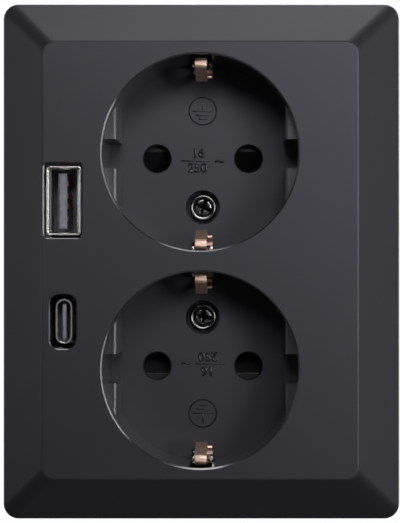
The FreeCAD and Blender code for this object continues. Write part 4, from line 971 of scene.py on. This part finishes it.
@dataclass
class Studio:
    """Pale floor, soft lamps, white surroundings and the camera."""

    floor_z: float
    camera_place: Place = (10.65 * MM, -342 * MM, -5.56 * MM)
    lens: float = 115.6
    sensor_width: float = 36.0
    frame_size: tuple[int, int] = (400, 523)
    foot_pixel: tuple[float, float] = (254.0, 289.0)
    floor_size: float = 12.0
    floor_tones: tuple[float, float] = (0.3, 0.33)
    floor_glow: float = 0.8
    front_level: float = 0.03
    soft_level: float = 0.04
    fade_start: float = -0.1
    fade_end: float = 0.7
    lamps: tuple[Softbox, ...] = (
        Softbox("high_front_softbox", (0.07, -0.54, 0.244), (0, 0, 0), (0.34, 0.16), 1.35),
        Softbox("right_softbox", (0.33, -0.51, 0.05), (0, 0, 0), (0.16, 0.2), 1.7),
        Softbox("overhead_strip", (0.0174, -0.0302, 0.4988), (0, 0, 0), (0.34, 0.14), 0.68),
        Softbox("right_edge_strip", (0.539, -0.09, 0.1), (0, 0, 0.1), (0.02, 0.7), 0.5),
        Softbox("right_front_strip", (0.3638, -0.4656, 0.1042), (0, 0, 0), (0.12, 0.26), 0.05),
        Softbox("left_strip", (-0.5072, -0.2049, 0.0575), (0, 0, 0), (0.12, 0.26), 0.44),
        Softbox("low_front_fill", (-0.085, -0.6, -0.035), (0, 0, 0), (0.22, 0.13), 0.01),
        Softbox("back_softbox", (0.2, 0.6, 0.3), (0, 0, 0), (0.5, 0.4), 4.0),
    )

    def floor(self) -> None:
        """Wide pale floor under the object, which shows its pale tone to the camera."""
        bpy.ops.mesh.primitive_plane_add(size=self.floor_size, location=(0, 0, self.floor_z))
        floor = bpy.context.object
        floor.name = "studio_floor"
        material, graph, shader = start_material("studio_floor")
        place = graph.add("ShaderNodeTexCoord").outputs["Object"]
        cloud = graph.add("ShaderNodeTexNoise", {"Vector": place, "Scale": 6.0})
        dark, light = (shade((tone,) * 3, 1.0) for tone in self.floor_tones)
        graph.link(graph.mix(cloud.outputs["Fac"], dark, light), shader, "Base Color")
        shader.inputs["Roughness"].default_value = 0.7
        seen = graph.add("ShaderNodeLightPath").outputs["Is Camera Ray"]
        shader.inputs["Emission Strength"].default_value = 1.0
        glow = graph.mix(seen, shade((0.0,) * 3, 1.0), shade((self.floor_glow,) * 3, 1.0))
        graph.link(glow, shader, "Emission Color")
        floor.data.materials.append(material)

    def surroundings(self) -> None:
        """World that is white where it is seen; mirrored, it is white behind the object and dim in front."""
        world = bpy.data.worlds.new("studio_world")
        bpy.context.scene.world = world
        world.use_nodes = True
        graph = Graph(world.node_tree)
        background = world.node_tree.nodes["Background"]
        rays = graph.add("ShaderNodeLightPath").outputs
        mirrored = graph.number("MAXIMUM", rays["Is Glossy Ray"], rays["Is Transmission Ray"])
        direction = graph.add("ShaderNodeTexCoord").outputs["Generated"]
        towards = graph.add("ShaderNodeSeparateXYZ", {0: direction}).outputs["Y"]
        behind = graph.add("ShaderNodeMapRange", {
            0: towards, 1: self.fade_start, 2: self.fade_end, 3: self.front_level, 4: 1.0,
        }, interpolation_type="SMOOTHSTEP")
        strength = graph.mix_number(mirrored, self.soft_level, behind.outputs[0])
        graph.link(graph.mix_number(rays["Is Camera Ray"], strength, 1.0), background, "Strength")
        background.inputs["Color"].default_value = (1, 1, 1, 1)

    def camera(self) -> None:
        """Camera at the photograph's place, shifted to its framing."""
        width, height = self.frame_size
        data = bpy.data.cameras.new("photo_camera")
        data.lens = self.lens
        data.sensor_width = self.sensor_width
        data.shift_x = (width / 2 - self.foot_pixel[0]) / height
        data.shift_y = (self.foot_pixel[1] - height / 2) / height
        data.clip_start = 0.01
        holder = bpy.data.objects.new("photo_camera", data)
        bpy.context.scene.collection.objects.link(holder)
        holder.location = self.camera_place
        holder.rotation_euler = (math.pi / 2, 0, 0)
        bpy.context.scene.camera = holder

    def build(self) -> None:
        """Sets up the studio."""
        self.floor()
        self.surroundings()
        self.camera()
        for lamp in self.lamps:
            lamp.build()
        bpy.context.scene.view_settings.view_transform = "Standard"
        log.info("built the studio")


def main() -> None:
    """Builds and dresses the socket, then the studio."""
    logging.basicConfig(level=logging.INFO, format="%(name)s: %(message)s")
    paintbox = Paintbox()
    face_y = cad_box[0][1]
    well_z = well_recess(1).z
    PackedPieces(paintbox).build()
    for well, side in zip(WELLS, (1, -1)):
        WellMarks(f"well_marks_{well}", side * well_z, face_y + WELL_DEPTH, turned=side < 0).build(paintbox)
    for well, turn in zip(WELLS, (22.0, 8.0)):
        CoverScrew(f"cover_screw_{well}", turn).build(paintbox)
    PortShell("usb_a_shell").build(paintbox)
    Studio(cad_box[0][2] - FLOOR_DROP).build()


if __name__ == "__main__":
    main()
